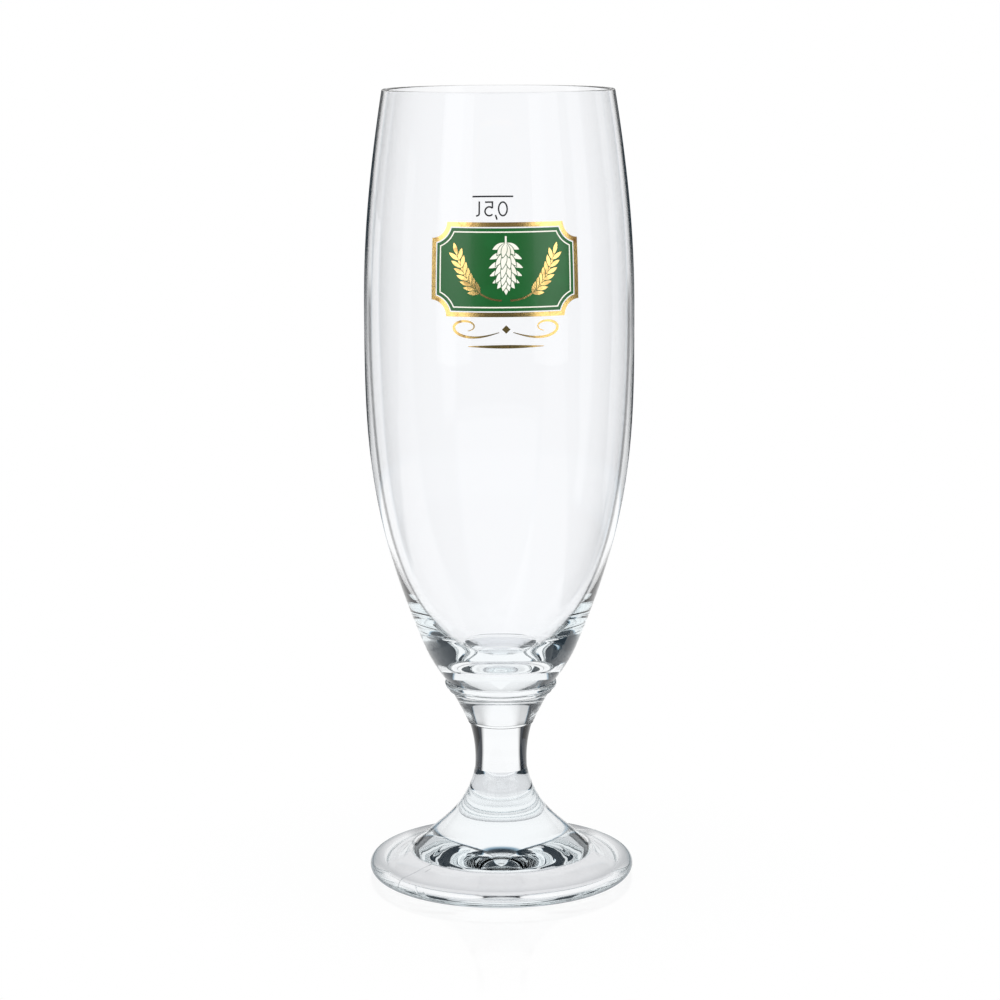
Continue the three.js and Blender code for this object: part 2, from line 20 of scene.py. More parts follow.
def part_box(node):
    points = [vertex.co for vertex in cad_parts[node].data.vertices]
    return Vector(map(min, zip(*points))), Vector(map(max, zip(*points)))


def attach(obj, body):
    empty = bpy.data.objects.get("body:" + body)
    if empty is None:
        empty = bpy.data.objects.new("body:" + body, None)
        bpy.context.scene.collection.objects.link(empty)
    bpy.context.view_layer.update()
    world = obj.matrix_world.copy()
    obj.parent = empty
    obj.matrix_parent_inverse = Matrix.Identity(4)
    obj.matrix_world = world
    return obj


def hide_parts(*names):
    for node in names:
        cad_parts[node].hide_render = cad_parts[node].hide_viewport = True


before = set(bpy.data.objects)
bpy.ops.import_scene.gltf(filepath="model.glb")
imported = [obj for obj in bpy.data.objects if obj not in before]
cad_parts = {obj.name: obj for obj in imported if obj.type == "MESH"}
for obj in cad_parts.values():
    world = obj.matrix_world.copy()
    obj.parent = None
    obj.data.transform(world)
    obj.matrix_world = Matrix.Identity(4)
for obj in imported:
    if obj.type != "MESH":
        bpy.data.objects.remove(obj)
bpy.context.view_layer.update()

LOG = logging.getLogger("goblet")
MM = 0.001
TURN = 2 * math.pi
UP = math.pi / 2
DOWN = -math.pi / 2
SHARP = math.radians(50)
BODY = "root"
WHITE = (1.0, 1.0, 1.0)

Colour = tuple[float, float, float]
Points = list[Vector]


class Slot(Enum):
    """Material slots of the record."""

    GLASS = "clear_glass"
    GREY = "grey_enamel"
    GOLD = "gold_print"
    GREEN = "green_enamel"
    CREAM = "cream_enamel"


class Side(Enum):
    """Hand of a piece that comes in pairs."""

    LEFT = -1
    RIGHT = 1


class Layer(Enum):
    """Order of the print layers on the glass."""

    ON_GLASS = 0
    ON_FIELD = 1


class Facing(Enum):
    """Wall of the bowl that a print is fired on, as a turn about the axis in radians."""

    FRONT = 0.0
    BACK = math.pi


class Mark(Enum):
    """Marks on the faces of the glass, which its finish reads."""

    FUSED = "fused"
    INNER = "inner"
    SEAM = "seam"


class Ray(Enum):
    """Kinds of ray, by their names on the Light Path node."""

    CAMERA = "Is Camera Ray"
    GLOSSY = "Is Glossy Ray"
    SHADOW = "Is Shadow Ray"
    TRANSMISSION = "Is Transmission Ray"


class Wire:
    """A shader socket whose arithmetic adds Math nodes."""

    def __init__(self, sheet: NodeSheet, socket: bpy.types.NodeSocket) -> None:
        """Holds a socket of a node sheet.

        Args:
            sheet: Node sheet that the socket is on.
            socket: Output socket to calculate with.
        """
        self.sheet = sheet
        self.socket = socket

    def maths(self, operation: str, *values: Any) -> Wire:
        """Adds one Math node.

        Args:
            operation: Name of the Math node's operation.
            values: Its inputs, wires or numbers, in order.

        Returns:
            The node's result.
        """
        node = self.sheet.add("ShaderNodeMath", {"operation": operation}, dict(enumerate(values)))
        return Wire(self.sheet, node.outputs[0])

    def __add__(self, other: Any) -> Wire:
        """Sum."""
        return self.maths("ADD", self, other)

    __radd__ = __add__

    def __sub__(self, other: Any) -> Wire:
        """Difference."""
        return self.maths("SUBTRACT", self, other)

    def __rsub__(self, other: Any) -> Wire:
        """Difference from a number on the left."""
        return self.maths("SUBTRACT", other, self)

    def __mul__(self, other: Any) -> Wire:
        """Product."""
        return self.maths("MULTIPLY", self, other)

    __rmul__ = __mul__

    def __truediv__(self, other: Any) -> Wire:
        """Quotient."""
        return self.maths("DIVIDE", self, other)

    def __rtruediv__(self, other: Any) -> Wire:
        """Quotient of a number on the left."""
        return self.maths("DIVIDE", other, self)

    def __or__(self, other: Any) -> Wire:
        """Larger of two values, so either of two flags."""
        return self.maths("MAXIMUM", self, other)

    __ror__ = __or__

    def ramp(self, start: float, end: float) -> Wire:
        """Smooth step.

        Args:
            start: Value that gives 0.
            end: Value that gives 1, which may be the lower one.

        Returns:
            A value from 0 to 1.
        """
        settings = {"interpolation_type": "SMOOTHSTEP"}
        inputs = {"Value": self, "From Min": min(start, end), "From Max": max(start, end)}
        node = self.sheet.add("ShaderNodeMapRange", settings, inputs)
        rising = Wire(self.sheet, node.outputs["Result"])
        return rising if start < end else 1 - rising


class NodeSheet:
    """The nodes of one material or of the world."""

    def __init__(self, owner: bpy.types.Material | bpy.types.World) -> None:
        """Empties an owner's node tree.

        Args:
            owner: Material or world whose nodes are made.
        """
        owner.use_nodes = True
        self.tree = owner.node_tree
        self.tree.nodes.clear()

    def add(self, kind: str, settings: Mapping[str, Any] | None = None,
            inputs: Mapping[str | int, Any] | None = None) -> bpy.types.Node:
        """Adds any node.

        Args:
            kind: Type name of the node.
            settings: Properties that are set first.
            inputs: Wires, sockets or values of its inputs, by name or number.

        Returns:
            The node.
        """
        node = self.tree.nodes.new(kind)
        for name, value in (settings or {}).items():
            setattr(node, name, value)
        for name, value in (inputs or {}).items():
            self.feed(node.inputs[name], value)
        return node

    def feed(self, socket: bpy.types.NodeSocket, value: Any) -> None:
        """Links or sets one input.

        Args:
            socket: Input socket.
            value: A wire or output socket to link, or a plain value.
        """
        if isinstance(value, Wire):
            value = value.socket
        if isinstance(value, bpy.types.NodeSocket):
            self.tree.links.new(value, socket)
        elif socket.type == "RGBA" and len(value) == 3:
            socket.default_value = (*value, 1.0)
        else:
            socket.default_value = value

    def wire(self, node: bpy.types.Node, output: str) -> Wire:
        """Output of a node, ready for arithmetic."""
        return Wire(self, node.outputs[output])

    def blend(self, factor: Any, first: Any, second: Any) -> bpy.types.NodeSocket:
        """Mixes two colours.

        Args:
            factor: Share of the second colour.
            first: Colour at factor 0.
            second: Colour at factor 1.

        Returns:
            The mixed colour.
        """
        inputs = {"Factor": factor, 6: first, 7: second}
        node = self.add("ShaderNodeMix", {"data_type": "RGBA"}, inputs)
        return node.outputs[2]

    def mix(self, share: Wire, first: bpy.types.Node, second: bpy.types.Node) -> bpy.types.Node:
        """Mixes two shaders.

        Args:
            share: Share of the second shader.
            first: Shader at share 0.
            second: Shader at share 1.

        Returns:
            The mixed shader.
        """
        return self.add("ShaderNodeMixShader", None, {0: share, 1: first.outputs[0], 2: second.outputs[0]})

    def place(self) -> bpy.types.NodeSocket:
        """Place on the object, in metres."""
        return self.add("ShaderNodeTexCoord").outputs["Object"]

    def parts(self, vector: bpy.types.NodeSocket) -> tuple[Wire, Wire, Wire]:
        """Parts of a vector along X, Y and Z."""
        node = self.add("ShaderNodeSeparateXYZ", None, {"Vector": vector})
        return self.wire(node, "X"), self.wire(node, "Y"), self.wire(node, "Z")

    def mark(self, mark: Mark) -> Wire:
        """1 on faces that have a mark and 0 on others."""
        return self.wire(self.add("ShaderNodeAttribute", {"attribute_name": mark.value}), "Fac")

    def ray(self, kind: Ray) -> Wire:
        """1 for one kind of ray and 0 for others."""
        return self.wire(self.add("ShaderNodeLightPath"), kind.value)

    def noise(self, size_mm: float, detail: float = 3.0) -> Wire:
        """Even noise fixed to the object.

        Args:
            size_mm: Rough size of its spots.
            detail: Number of finer octaves.

        Returns:
            A value around 0.5.
        """
        inputs = {"Vector": self.place(), "Scale": 1 / (size_mm * MM), "Detail": detail}
        return self.wire(self.add("ShaderNodeTexNoise", None, inputs), "Fac")

    def bump(self, height: Wire, depth_mm: float) -> bpy.types.NodeSocket:
        """Normal of a slightly uneven surface.

        Args:
            height: Unevenness from 0 to 1.
            depth_mm: Real depth of the unevenness.

        Returns:
            The normal.
        """
        inputs = {"Height": height, "Distance": depth_mm * MM}
        return self.add("ShaderNodeBump", None, inputs).outputs["Normal"]


@dataclass(frozen=True)
class Finish:
    """What the surface of a piece is like."""

    name: str

    def sockets(self, sheet: NodeSheet) -> dict[str, bpy.types.NodeSocket]:
        """Adds the nodes of the finish.

        Args:
            sheet: Node sheet of its material.

        Returns:
            What feeds the material's output, by the names of its inputs.
        """
        raise NotImplementedError

    def material(self) -> bpy.types.Material:
        """Makes the material.

        Returns:
            A new material with the nodes of the finish.
        """
        material = bpy.data.materials.new(self.name)
        sheet = NodeSheet(material)
        sheet.add("ShaderNodeOutputMaterial", None, self.sockets(sheet))
        return material


@dataclass(frozen=True)
class GlassFinish(Finish):
    """Clear glass, left out on fused faces, with painted shade where it is seen at a steep slant, on the
    inside where it mirrors most, and on mould seams.

    Attributes:
        edge: Colour of the painted shade.
        painted_shade_slants: Slants on the outside, from 0 to 1, that give no painted shade and the full
            painted shade.
        painted_shade_heights: Heights on the outside that give the least painted shade and the full painted
            shade.
        painted_shade_least: Share of the painted shade that is left at the first of those heights.
        inner_shade_heights: Heights between which the inside gets painted shade, or None.
        inner_shade_soft: Length over which that painted shade fades at both ends.
        inner_shade_gleams: Shares of mirrored light on the inside that give no painted shade and the full
            painted shade.
        inner_shade_share: Strength of the painted shade on the inside.
        seam_shade_share: Strength of the painted shade on mould seams.
        gloss: Strength of the mirror images.
        shadow: Strength of the shadow that the glass casts.
    """

    # edge is the colour of painted shade that stands in for the dark surroundings seen through the glass
    edge: Colour
    painted_shade_slants: tuple[float, float]
    painted_shade_heights: tuple[float, float]
    painted_shade_least: float = 0.0
    inner_shade_heights: tuple[float, float] | None = None
    inner_shade_soft: float = 14.0
    inner_shade_gleams: tuple[float, float] = (0.27, 0.40)
    inner_shade_share: float = 0.98
    seam_shade_share: float = 0.7
    clear: Colour = (0.986, 0.990, 1.0)
    ior: float = 1.52
    gloss: float = 0.3
    depth_tint: Colour = (0.55, 0.80, 0.86)
    depth_per_metre: float = 3.0
    wave_mm: float = 14.0
    wave_depth_mm: float = 0.002
    shadow: float = 0.3

    def painted_shade(self, sheet: NodeSheet) -> Wire:
        """Share of the edge colour, which is painted shade.

        Args:
            sheet: Node sheet of the material.

        Returns:
            A value from 0 on clear glass to 1 on a painted dark line.
        """
        # Painted shade: darker at a steep slant, by height, on the inside where it mirrors most, and on
        # mould seams
        slant = sheet.wire(sheet.add("ShaderNodeLayerWeight"), "Facing")
        height = sheet.parts(sheet.place())[2] / MM
        inner = sheet.mark(Mark.INNER)
        outside = self.painted_shade_least + (1 - self.painted_shade_least) * height.ramp(*self.painted_shade_heights)
        painted_shade = slant.ramp(*self.painted_shade_slants) * outside * (1 - inner)
        if self.inner_shade_heights:
            low, high = self.inner_shade_heights
            gleam = sheet.wire(sheet.add("ShaderNodeFresnel", None, {"IOR": self.ior}), "Fac")
            inside = height.ramp(low, low + self.inner_shade_soft) * height.ramp(high, high - self.inner_shade_soft)
            painted_shade = painted_shade | gleam.ramp(*self.inner_shade_gleams) * inside * inner * self.inner_shade_share
        return painted_shade | self.seam_shade_share * sheet.mark(Mark.SEAM)

    def sockets(self, sheet: NodeSheet) -> dict[str, bpy.types.NodeSocket]:
        """Adds the nodes of the glass.

        Args:
            sheet: Node sheet of its material.

        Returns:
            Its surface and the faint colour of its depth.
        """
        surface = sheet.add("ShaderNodeBsdfPrincipled", None, {
            # Base Color carries the painted shade in the edge colour
            "Base Color": sheet.blend(self.painted_shade(sheet), self.clear, self.edge),
            "Roughness": 0.0,
            "IOR": self.ior,
            "Specular Tint": grey(self.gloss),
            "Transmission Weight": 1.0,
            "Alpha": (1 - sheet.mark(Mark.FUSED)) * (1 - sheet.ray(Ray.SHADOW) * (1 - self.shadow)),
            "Normal": sheet.bump(sheet.noise(self.wave_mm, detail=1.0), self.wave_depth_mm),
        })
        depth = {"Color": self.depth_tint, "Density": self.depth_per_metre}
        volume = sheet.add("ShaderNodeVolumeAbsorption", None, depth)
        return {"Surface": surface.outputs["BSDF"], "Volume": volume.outputs["Volume"]}


@dataclass(frozen=True)
class EnamelFinish(Finish):
    """Fired-on enamel: an even colour with a fine screen grain and a soft gloss.

    Attributes:
        thin: Colour where the enamel is thin.
        cloud_limits: Values of the noise between which the enamel goes from thick to thin.
        cloud_share: How much of the thin colour the clouds bring.
        grain_share: How much of it the grain brings.
    """

    colour: Colour
    thin: Colour
    roughness: float = 0.28
    coat: float = 0.25
    coat_roughness: float = 0.08
    cloud_mm: float = 6.0
    cloud_limits: tuple[float, float] = (0.42, 0.75)
    cloud_share: float = 0.7
    grain_mm: float = 0.35
    grain_depth_mm: float = 0.012
    grain_share: float = 0.2
    grain_roughness: float = 0.12

    def sockets(self, sheet: NodeSheet) -> dict[str, bpy.types.NodeSocket]:
        """Adds the nodes of the enamel.

        Args:
            sheet: Node sheet of its material.

        Returns:
            Its surface, clouded towards the colour of its thin places.
        """
        cloud = sheet.noise(self.cloud_mm).ramp(*self.cloud_limits)
        grain = sheet.noise(self.grain_mm)
        thinness = cloud * self.cloud_share + grain * self.grain_share
        surface = sheet.add("ShaderNodeBsdfPrincipled", None, {
            "Base Color": sheet.blend(thinness, self.colour, self.thin),
            "Roughness": self.roughness + grain * self.grain_roughness,
            "Coat Weight": self.coat,
            "Coat Roughness": self.coat_roughness,
            "Normal": sheet.bump(grain, self.grain_depth_mm),
        })
        return {"Surface": surface.outputs["BSDF"]}


@dataclass(frozen=True)
class GoldFinish(Finish):
    """Bright gold print, burnished unevenly.

    Attributes:
        dull_limits: Values of the noise between which the gold goes from bright to brown.
    """

    bright: Colour = (0.94, 0.65, 0.24)
    brown: Colour = (0.38, 0.20, 0.07)
    roughness: float = 0.2
    dull_mm: float = 3.5
    dull_limits: tuple[float, float] = (0.5, 0.8)
    dull_roughness: float = 0.15
    grain_mm: float = 0.4
    grain_depth_mm: float = 0.02
    grain_roughness: float = 0.1

    def sockets(self, sheet: NodeSheet) -> dict[str, bpy.types.NodeSocket]:
        """Adds the nodes of the gold.

        Args:
            sheet: Node sheet of its material.

        Returns:
            Its metallic surface, with duller, browner places.
        """
        dull = sheet.noise(self.dull_mm).ramp(*self.dull_limits)
        grain = sheet.noise(self.grain_mm)
        surface = sheet.add("ShaderNodeBsdfPrincipled", None, {
            "Base Color": sheet.blend(dull, self.bright, self.brown),
            "Metallic": 1.0,
            "Roughness": self.roughness + dull * self.dull_roughness + grain * self.grain_roughness,
            "Normal": sheet.bump(grain, self.grain_depth_mm),
        })
        return {"Surface": surface.outputs["BSDF"]}


# The edge colours, slants and heights below set the painted shade on each piece of glass
STEM_GLASS = GlassFinish(
    "stem_glass",
    edge=(0.0015, 0.002, 0.003),
    painted_shade_slants=(0.27, 0.37),
    painted_shade_heights=(49.5, 46.5),
    painted_shade_least=0.5,
)
BOWL_GLASS = GlassFinish(
    "bowl_glass",
    edge=(0.002, 0.003, 0.004),
    painted_shade_slants=(0.70, 0.82),
    painted_shade_heights=(115.0, 195.0),
    inner_shade_heights=(72.0, 185.0),
)
FOOT_GLASS = GlassFinish(
    "foot_glass",
    edge=(0.06, 0.09, 0.11),
    painted_shade_slants=(0.42, 0.76),
    painted_shade_heights=(5.6, 4.6),
    painted_shade_least=0.3,
    wave_depth_mm=0.0005,
)
GREY = EnamelFinish("grey_enamel", (0.016, 0.017, 0.024), (0.032, 0.034, 0.042), roughness=0.4, coat=0.1)
GREEN = EnamelFinish("green_enamel", (0.001, 0.105, 0.014), (0.002, 0.125, 0.020), coat=0.15)
CREAM = EnamelFinish("cream_enamel", (0.90, 0.88, 0.80), (0.80, 0.78, 0.66))


def grey(value: float) -> Colour:
    """An even grey."""
    return (value, value, value)


def at(across: float, up: float) -> Vector:
    """A flat point: radius and height of an outline, or along and up a print."""
    return Vector((across, up))


def heading(angle: float) -> Vector:
    """A step of length 1 at an angle in radians."""
    return at(math.cos(angle), math.sin(angle))


class Outline:
    """A turned piece's outline, drawn from place to place with the glass on its left."""

    def __init__(self, radius: float, height: float) -> None:
        """Starts at a radius and height."""
        self.points: Points = [at(radius, height)]

    def to(self, radius: float, height: float) -> Outline:
        """Draws a straight line.

        Args:
            radius: Radius at its end.
            height: Height at its end.

        Returns:
            This outline.
        """
        self.points.append(at(radius, height))
        return self

    def curve(self, *handles: Vector, steps: int) -> Outline:
        """Draws a curve.

        Args:
            handles: One or two handles and the end.
            steps: Number of straight steps.

        Returns:
            This outline.
        """
        shape = [self.points[-1], *handles]
        self.points += [along_curve(shape, i / steps) for i in range(1, steps + 1)]
        return self

    def arc(self, centre: Vector, radius: float, start: float, end: float, steps: int = 12) -> Outline:
        """Draws part of a circle.

        Args:
            centre: Its centre.
            radius: Its radius.
            start: Angle of its first point, in radians.
            end: Angle of its last point.
            steps: Number of straight steps.

        Returns:
            This outline.
        """
        for i in range(steps + 1):
            self.points.append(centre + radius * heading(start + (end - start) * i / steps))
        return self

    def eased(self, reach: float, least_turn: float = 0.2, steps: int = 5) -> Points:
        """Rounds the corners off, except at the axis and at square ends.

        Args:
            reach: How far from a corner its round starts.
            least_turn: Smallest turn that counts as a corner, in radians.
            steps: Number of steps in a round.

        Returns:
            Points of the rounded outline.
        """
        points = [p for i, p in enumerate(self.points) if i == 0 or (p - self.points[i - 1]).length > 1e-6]
        rounded = [points[0]]
        for before, corner, after in zip(points, points[1:], points[2:]):
            into, out = corner - before, after - corner
            turn = abs(into.angle_signed(out))
            if turn < least_turn or before.x == 0 or after.x == 0:
                rounded.append(corner)
                continue
            start = corner - into.normalized() * min(reach, into.length * 0.45)
            end = corner + out.normalized() * min(reach, out.length * 0.45)
            rounded += [along_curve([start, corner, end], i / steps) for i in range(steps + 1)]
        return [*rounded, points[-1]]


def along_curve(shape: Sequence[Vector], share: float) -> Vector:
    """A place on a curve that is drawn by handles.

    Args:
        shape: Start, handles and end.
        share: From 0 at the start to 1 at the end.

    Returns:
        The place.
    """
    while len(shape) > 1:
        shape = [a.lerp(b, share) for a, b in zip(shape, shape[1:])]
    return shape[0]


def link(name: str, mesh: bpy.types.Mesh) -> bpy.types.Object:
    """Puts a mesh into the scene.

    Args:
        name: Name of the object.
        mesh: Its mesh.

    Returns:
        The object.
    """
    piece = bpy.data.objects.new(name, mesh)
    bpy.context.scene.collection.objects.link(piece)
    return piece


def settle(node: str, kind: str, mesh: bmesh.types.BMesh) -> bpy.types.Object:
    """Turns a finished mesh into an object.

    Args:
        node: Solid that it stands for, after which it is named.
        kind: Last word of its name.
        mesh: The finished mesh, which is freed.

    Returns:
        The object.
    """
    data = bpy.data.meshes.new(node)
    mesh.to_mesh(data)
    mesh.free()
    data.set_sharp_from_angle(angle=SHARP)
    return link(f"{node}_{kind}", data)


def dress(piece: bpy.types.Object, node: str, material: bpy.types.Material) -> None:
    """Gives a piece its finish and puts it in the place of a solid.

    Args:
        piece: The piece.
        node: Solid that it stands for.
        material: Its finish.
    """
    piece.data.materials.append(material)
    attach(piece, BODY)
    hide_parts(node)
    LOG.info("%s: %d faces", piece.name, len(piece.data.polygons))


@dataclass(kw_only=True)
class TurnedGlass:
    """A piece of glass turned about the axis and fused to its neighbours."""

    node: str
    foot_height: float
    top_height: float
    finish: GlassFinish
    around: int = 192
    joint_gap: float = 0.01
    ease: float = 0.35

    @staticmethod
    def heights(node: str) -> dict[str, float]:
        """Heights of a solid in the frame.

        Args:
            node: Name of the solid.

        Returns:
            Its foot and top heights, by field name.
        """
        low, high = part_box(node)
        return {"foot_height": low.z / MM, "top_height": high.z / MM}

    def outline(self) -> Points:
        """Points of the outline, from the axis below to the axis above."""
        raise NotImplementedError

    def fused_radii(self) -> dict[float, float]:
        """Radius of each face that is fused to a neighbour, by its height."""
        raise NotImplementedError

    def angles(self) -> list[float]:
        """Angles of the facets round the axis, in radians."""
        return [TURN * i / self.around for i in range(self.around)]

    def shift(self, place: Vector, angle: float) -> Vector:
        """Uneven place of a point, for marks that don't run all round.

        Args:
            place: Radius and height on the even outline.
            angle: Angle round the axis.

        Returns:
            Radius and height to use.
        """
        return place

    def seamed(self, place: Vector, angle: float) -> bool:
        """Whether a face at this radius, height and angle lies on a mould seam."""
        return False

    def fused(self, start: Vector, end: Vector) -> bool:
        """Whether a stretch of the outline is fused to a neighbour.

        Args:
            start: Start of the stretch.
            end: End of the stretch.

        Returns:
            True on a level stretch at a joint.
        """
        middle = (start + end) / 2
        return start.y == end.y and any(
            abs(middle.y - height) < self.joint_gap / 2 and middle.x < radius
            for height, radius in self.fused_radii().items()
        )

    def turned(self, mesh: bmesh.types.BMesh, place: Vector,
               angles: Sequence[float]) -> list[bmesh.types.BMVert]:
        """Turns one point of the outline.

        Args:
            mesh: Mesh to add to.
            place: Radius and height of the point.
            angles: Angles of the facets.

        Returns:
            A corner for each angle, or a single one on the axis.
        """
        if place.x == 0:
            return [mesh.verts.new((0, 0, place.y * MM))]
        corners = []
        for angle in angles:
            spot = self.shift(place, angle) * MM
            corners.append(mesh.verts.new((*spot.x * heading(angle), spot.y)))
        return corners

    def build(self) -> bpy.types.Object:
        """Turns the outline into a closed mesh.

        Returns:
            The piece, with its faces marked.
        """
        outline = self.outline()
        angles = self.angles()
        highest = max(range(len(outline)), key=lambda i: outline[i].y)
        mesh = bmesh.new()
        rings = [self.turned(mesh, place, angles) for place in outline]
        layers = {mark: mesh.faces.layers.float.new(mark.value) for mark in Mark}
        for i, (lower, upper) in enumerate(zip(rings, rings[1:])):
            middle = (outline[i] + outline[i + 1]) / 2
            fused = self.fused(outline[i], outline[i + 1])
            for k, angle in enumerate(angles):
                after = (k + 1) % len(angles)
                corners = [lower[k % len(lower)], lower[after % len(lower)]]
                corners += [upper[after % len(upper)], upper[k % len(upper)]]
                face = mesh.faces.new(dict.fromkeys(corners))
                face.smooth = True
                face[layers[Mark.FUSED]] = float(fused)
                face[layers[Mark.INNER]] = float(i >= highest)
                face[layers[Mark.SEAM]] = float(self.seamed(middle, angle))
        return settle(self.node, "glass", mesh)

    def make(self) -> bpy.types.Object:
        """Builds and dresses the piece.

        Returns:
            The piece.
        """
        piece = self.build()
        dress(piece, self.node, self.finish.material())
        return piece


@dataclass(kw_only=True)
class Foot(TurnedGlass):
    """Pressed foot: half-round edge, bell with press rings, mould seams, hollow underneath.

    Attributes:
        ring_clear: Length below the stem that has no press rings.
        seam_facets: Number of fine facets in the place of an even one at a mould seam.
        seam_reach: Number of even facets to each side of a seam that are made fine.
    """

    node: str = "foot"
    finish: GlassFinish = FOOT_GLASS
    around: int = 384
    radius: float
    edge: float = 4.9
    rest_width: float = 2.2
    hollow: float = 8.0
    hollow_reach: float = 17.7
    plate_radius: float = 27.2
    plate_height: float = 7.1
    plate_fillet: float = 1.8
    bell_slope: float = 0.8
    bell_reach: float = 8.9
    neck_radius: float = 7.9
    neck_reach: float = 13.8
    neck_spread: float = 2.9
    ring_heights: tuple[float, ...] = (15.0, 17.2, 23.5, 25.3)
    ring_depth: float = 0.008
    ring_width: float = 0.6
    ring_clear: float = 1.0
    seam_angles: tuple[float, ...] = (math.radians(217), math.radians(37))
    seam_height: float = 0.05
    seam_width: float = 0.3
    seam_facets: int = 6
    seam_reach: float = 1.5

    def outline(self) -> Points:
        """Draws the hollow, the resting ring, the edge, the plate and the bell.

        Returns:
            Points of the outline, from the axis below to the axis above.
        """
        edge = self.edge / 2
        rest_outer = self.radius - edge
        rest_inner = rest_outer - self.rest_width
        top = self.top_height - self.joint_gap
        plate = at(self.plate_radius, self.plate_height)
        rise = at(-math.cos(self.bell_slope), math.sin(self.bell_slope))
        base = Outline(0, self.hollow)
        base.curve(at(rest_inner - self.hollow_reach, self.hollow), at(rest_inner, 0), steps=48)
        base.to(rest_outer, 0)
        base.arc(at(rest_outer, edge), edge, DOWN, UP, 24)
        outward = (at(rest_outer, self.edge) - plate).normalized()
        base.to(*(plate + outward * self.plate_fillet))
        base.curve(plate, plate + rise * self.plate_fillet, steps=16)
        base.curve(
            base.points[-1] + rise * self.bell_reach,
            at(self.neck_radius + self.neck_spread, self.top_height - self.neck_reach),
            at(self.neck_radius, top),
            steps=80,
        )
        base.to(0, top)
        return [self.ringed(p) for p in base.eased(self.ease)]

    def ringed(self, place: Vector) -> Vector:
        """Adds the press rings to the bell.

        Args:
            place: Radius and height on the plain bell.

        Returns:
            Radius and height with the rings.
        """
        if place.x == 0 or place.y < self.edge or place.y > self.top_height - self.ring_clear:
            return place
        swell = sum(math.exp(-((place.y - h) / self.ring_width) ** 2) for h in self.ring_heights)
        return at(place.x + self.ring_depth * swell, place.y)

    def fused_radii(self) -> dict[float, float]:
        """Radius of the top face, fused to the stem."""
        return {self.top_height - self.joint_gap: self.neck_radius}

    def angles(self) -> list[float]:
        """Angles of the facets, with closer ones at the mould seams.

        Returns:
            The angles, in radians and in order.
        """
        step = TURN / self.around
        finer = step / self.seam_facets
        reach = round(self.seam_reach * self.seam_facets)
        fine = {seam + finer * k for seam in self.seam_angles for k in range(-reach, reach + 1)}
        clear = finer * (reach + 0.5)
        even = {a for a in super().angles() if min(abs(a - seam) for seam in self.seam_angles) > clear}
        return sorted(fine | even)

    def shift(self, place: Vector, angle: float) -> Vector:
        """Raises the mould seams on the upper side.

        Args:
            place: Radius and height on the even outline.
            angle: Angle round the axis.

        Returns:
            Radius and height to use.
        """
        away = self.from_seam(place, angle) / self.seam_width
        return at(place.x, place.y + self.seam_height * math.exp(-(away**2)))

    def from_seam(self, place: Vector, angle: float) -> float:
        """Distance to the nearest mould seam.

        Args:
            place: Radius and height on the even outline.
            angle: Angle round the axis.

        Returns:
            The distance in millimetres, or a long one where no seam runs.
        """
        if place.y < self.edge / 2 or place.x < self.plate_radius:
            return self.radius
        return min(abs(angle - seam) for seam in self.seam_angles) * place.x

    def seamed(self, place: Vector, angle: float) -> bool:
        """Whether a face at this radius, height and angle lies on a mould seam."""
        return self.from_seam(place, angle) < self.seam_width / 2


@dataclass(kw_only=True)
class Stem(TurnedGlass):
    """Pressed stem: waisted pillar, bead, drawn-in cone and a fine ring on top."""

    node: str = "stem"
    finish: GlassFinish = STEM_GLASS
    foot_radius: float = 7.9
    waist_radius: float = 7.8
    waist_rise: float = 3.0
    pillar_length: float = 14.0
    pillar_top_radius: float = 9.5
    bead: float = 0.45
    cone_foot_radius: float = 10.2
    cone_draw: float = 0.2
    ring_radius: float = 15.7
    ring: float = 0.5
    ring_step: float = 0.3

    def outline(self) -> Points:
        """Draws the pillar, the bead, the cone and the ring.

        Returns:
            Points of the outline, from the axis below to the axis above.
        """
        bottom = self.foot_height + self.joint_gap
        top = self.top_height - self.joint_gap
        waist = self.foot_height + self.waist_rise
        pillar_top = self.foot_height + self.pillar_length
        bead_top = pillar_top + 2 * self.bead
        ring_bottom = self.top_height - 2 * self.ring
        ring_middle = self.ring_radius - self.ring
        cone_top = ring_middle - self.ring_step
        line = Outline(0, bottom)
        line.to(self.foot_radius, bottom)
        line.curve(at(self.waist_radius, (bottom + waist) / 2), at(self.waist_radius, waist), steps=12)
        shoulder = at(self.pillar_top_radius, pillar_top)
        line.curve(at(self.waist_radius, (waist + pillar_top) / 2), shoulder, steps=40)
        line.arc(at(self.pillar_top_radius, pillar_top + self.bead), self.bead, DOWN, UP)
        line.to(self.cone_foot_radius, bead_top)
        halfway_out = (self.cone_foot_radius + cone_top) / 2
        halfway_up = (bead_top + ring_bottom) / 2
        drawn_in = at(halfway_out - self.cone_draw, halfway_up + self.cone_draw)
        line.curve(drawn_in, at(cone_top, ring_bottom), steps=30)
        line.arc(at(ring_middle, self.top_height - self.ring), self.ring, DOWN, UP)
        line.points[-1] = at(ring_middle, top)
        line.to(0, top)
        return line.eased(self.ease)

    def fused_radii(self) -> dict[float, float]:
        """Finds the end faces, fused to foot and bowl.

        Returns:
            Their radii, by height.
        """
        return {
            self.foot_height + self.joint_gap: self.foot_radius,
            self.top_height - self.joint_gap: self.ring_radius - self.ring,
        }


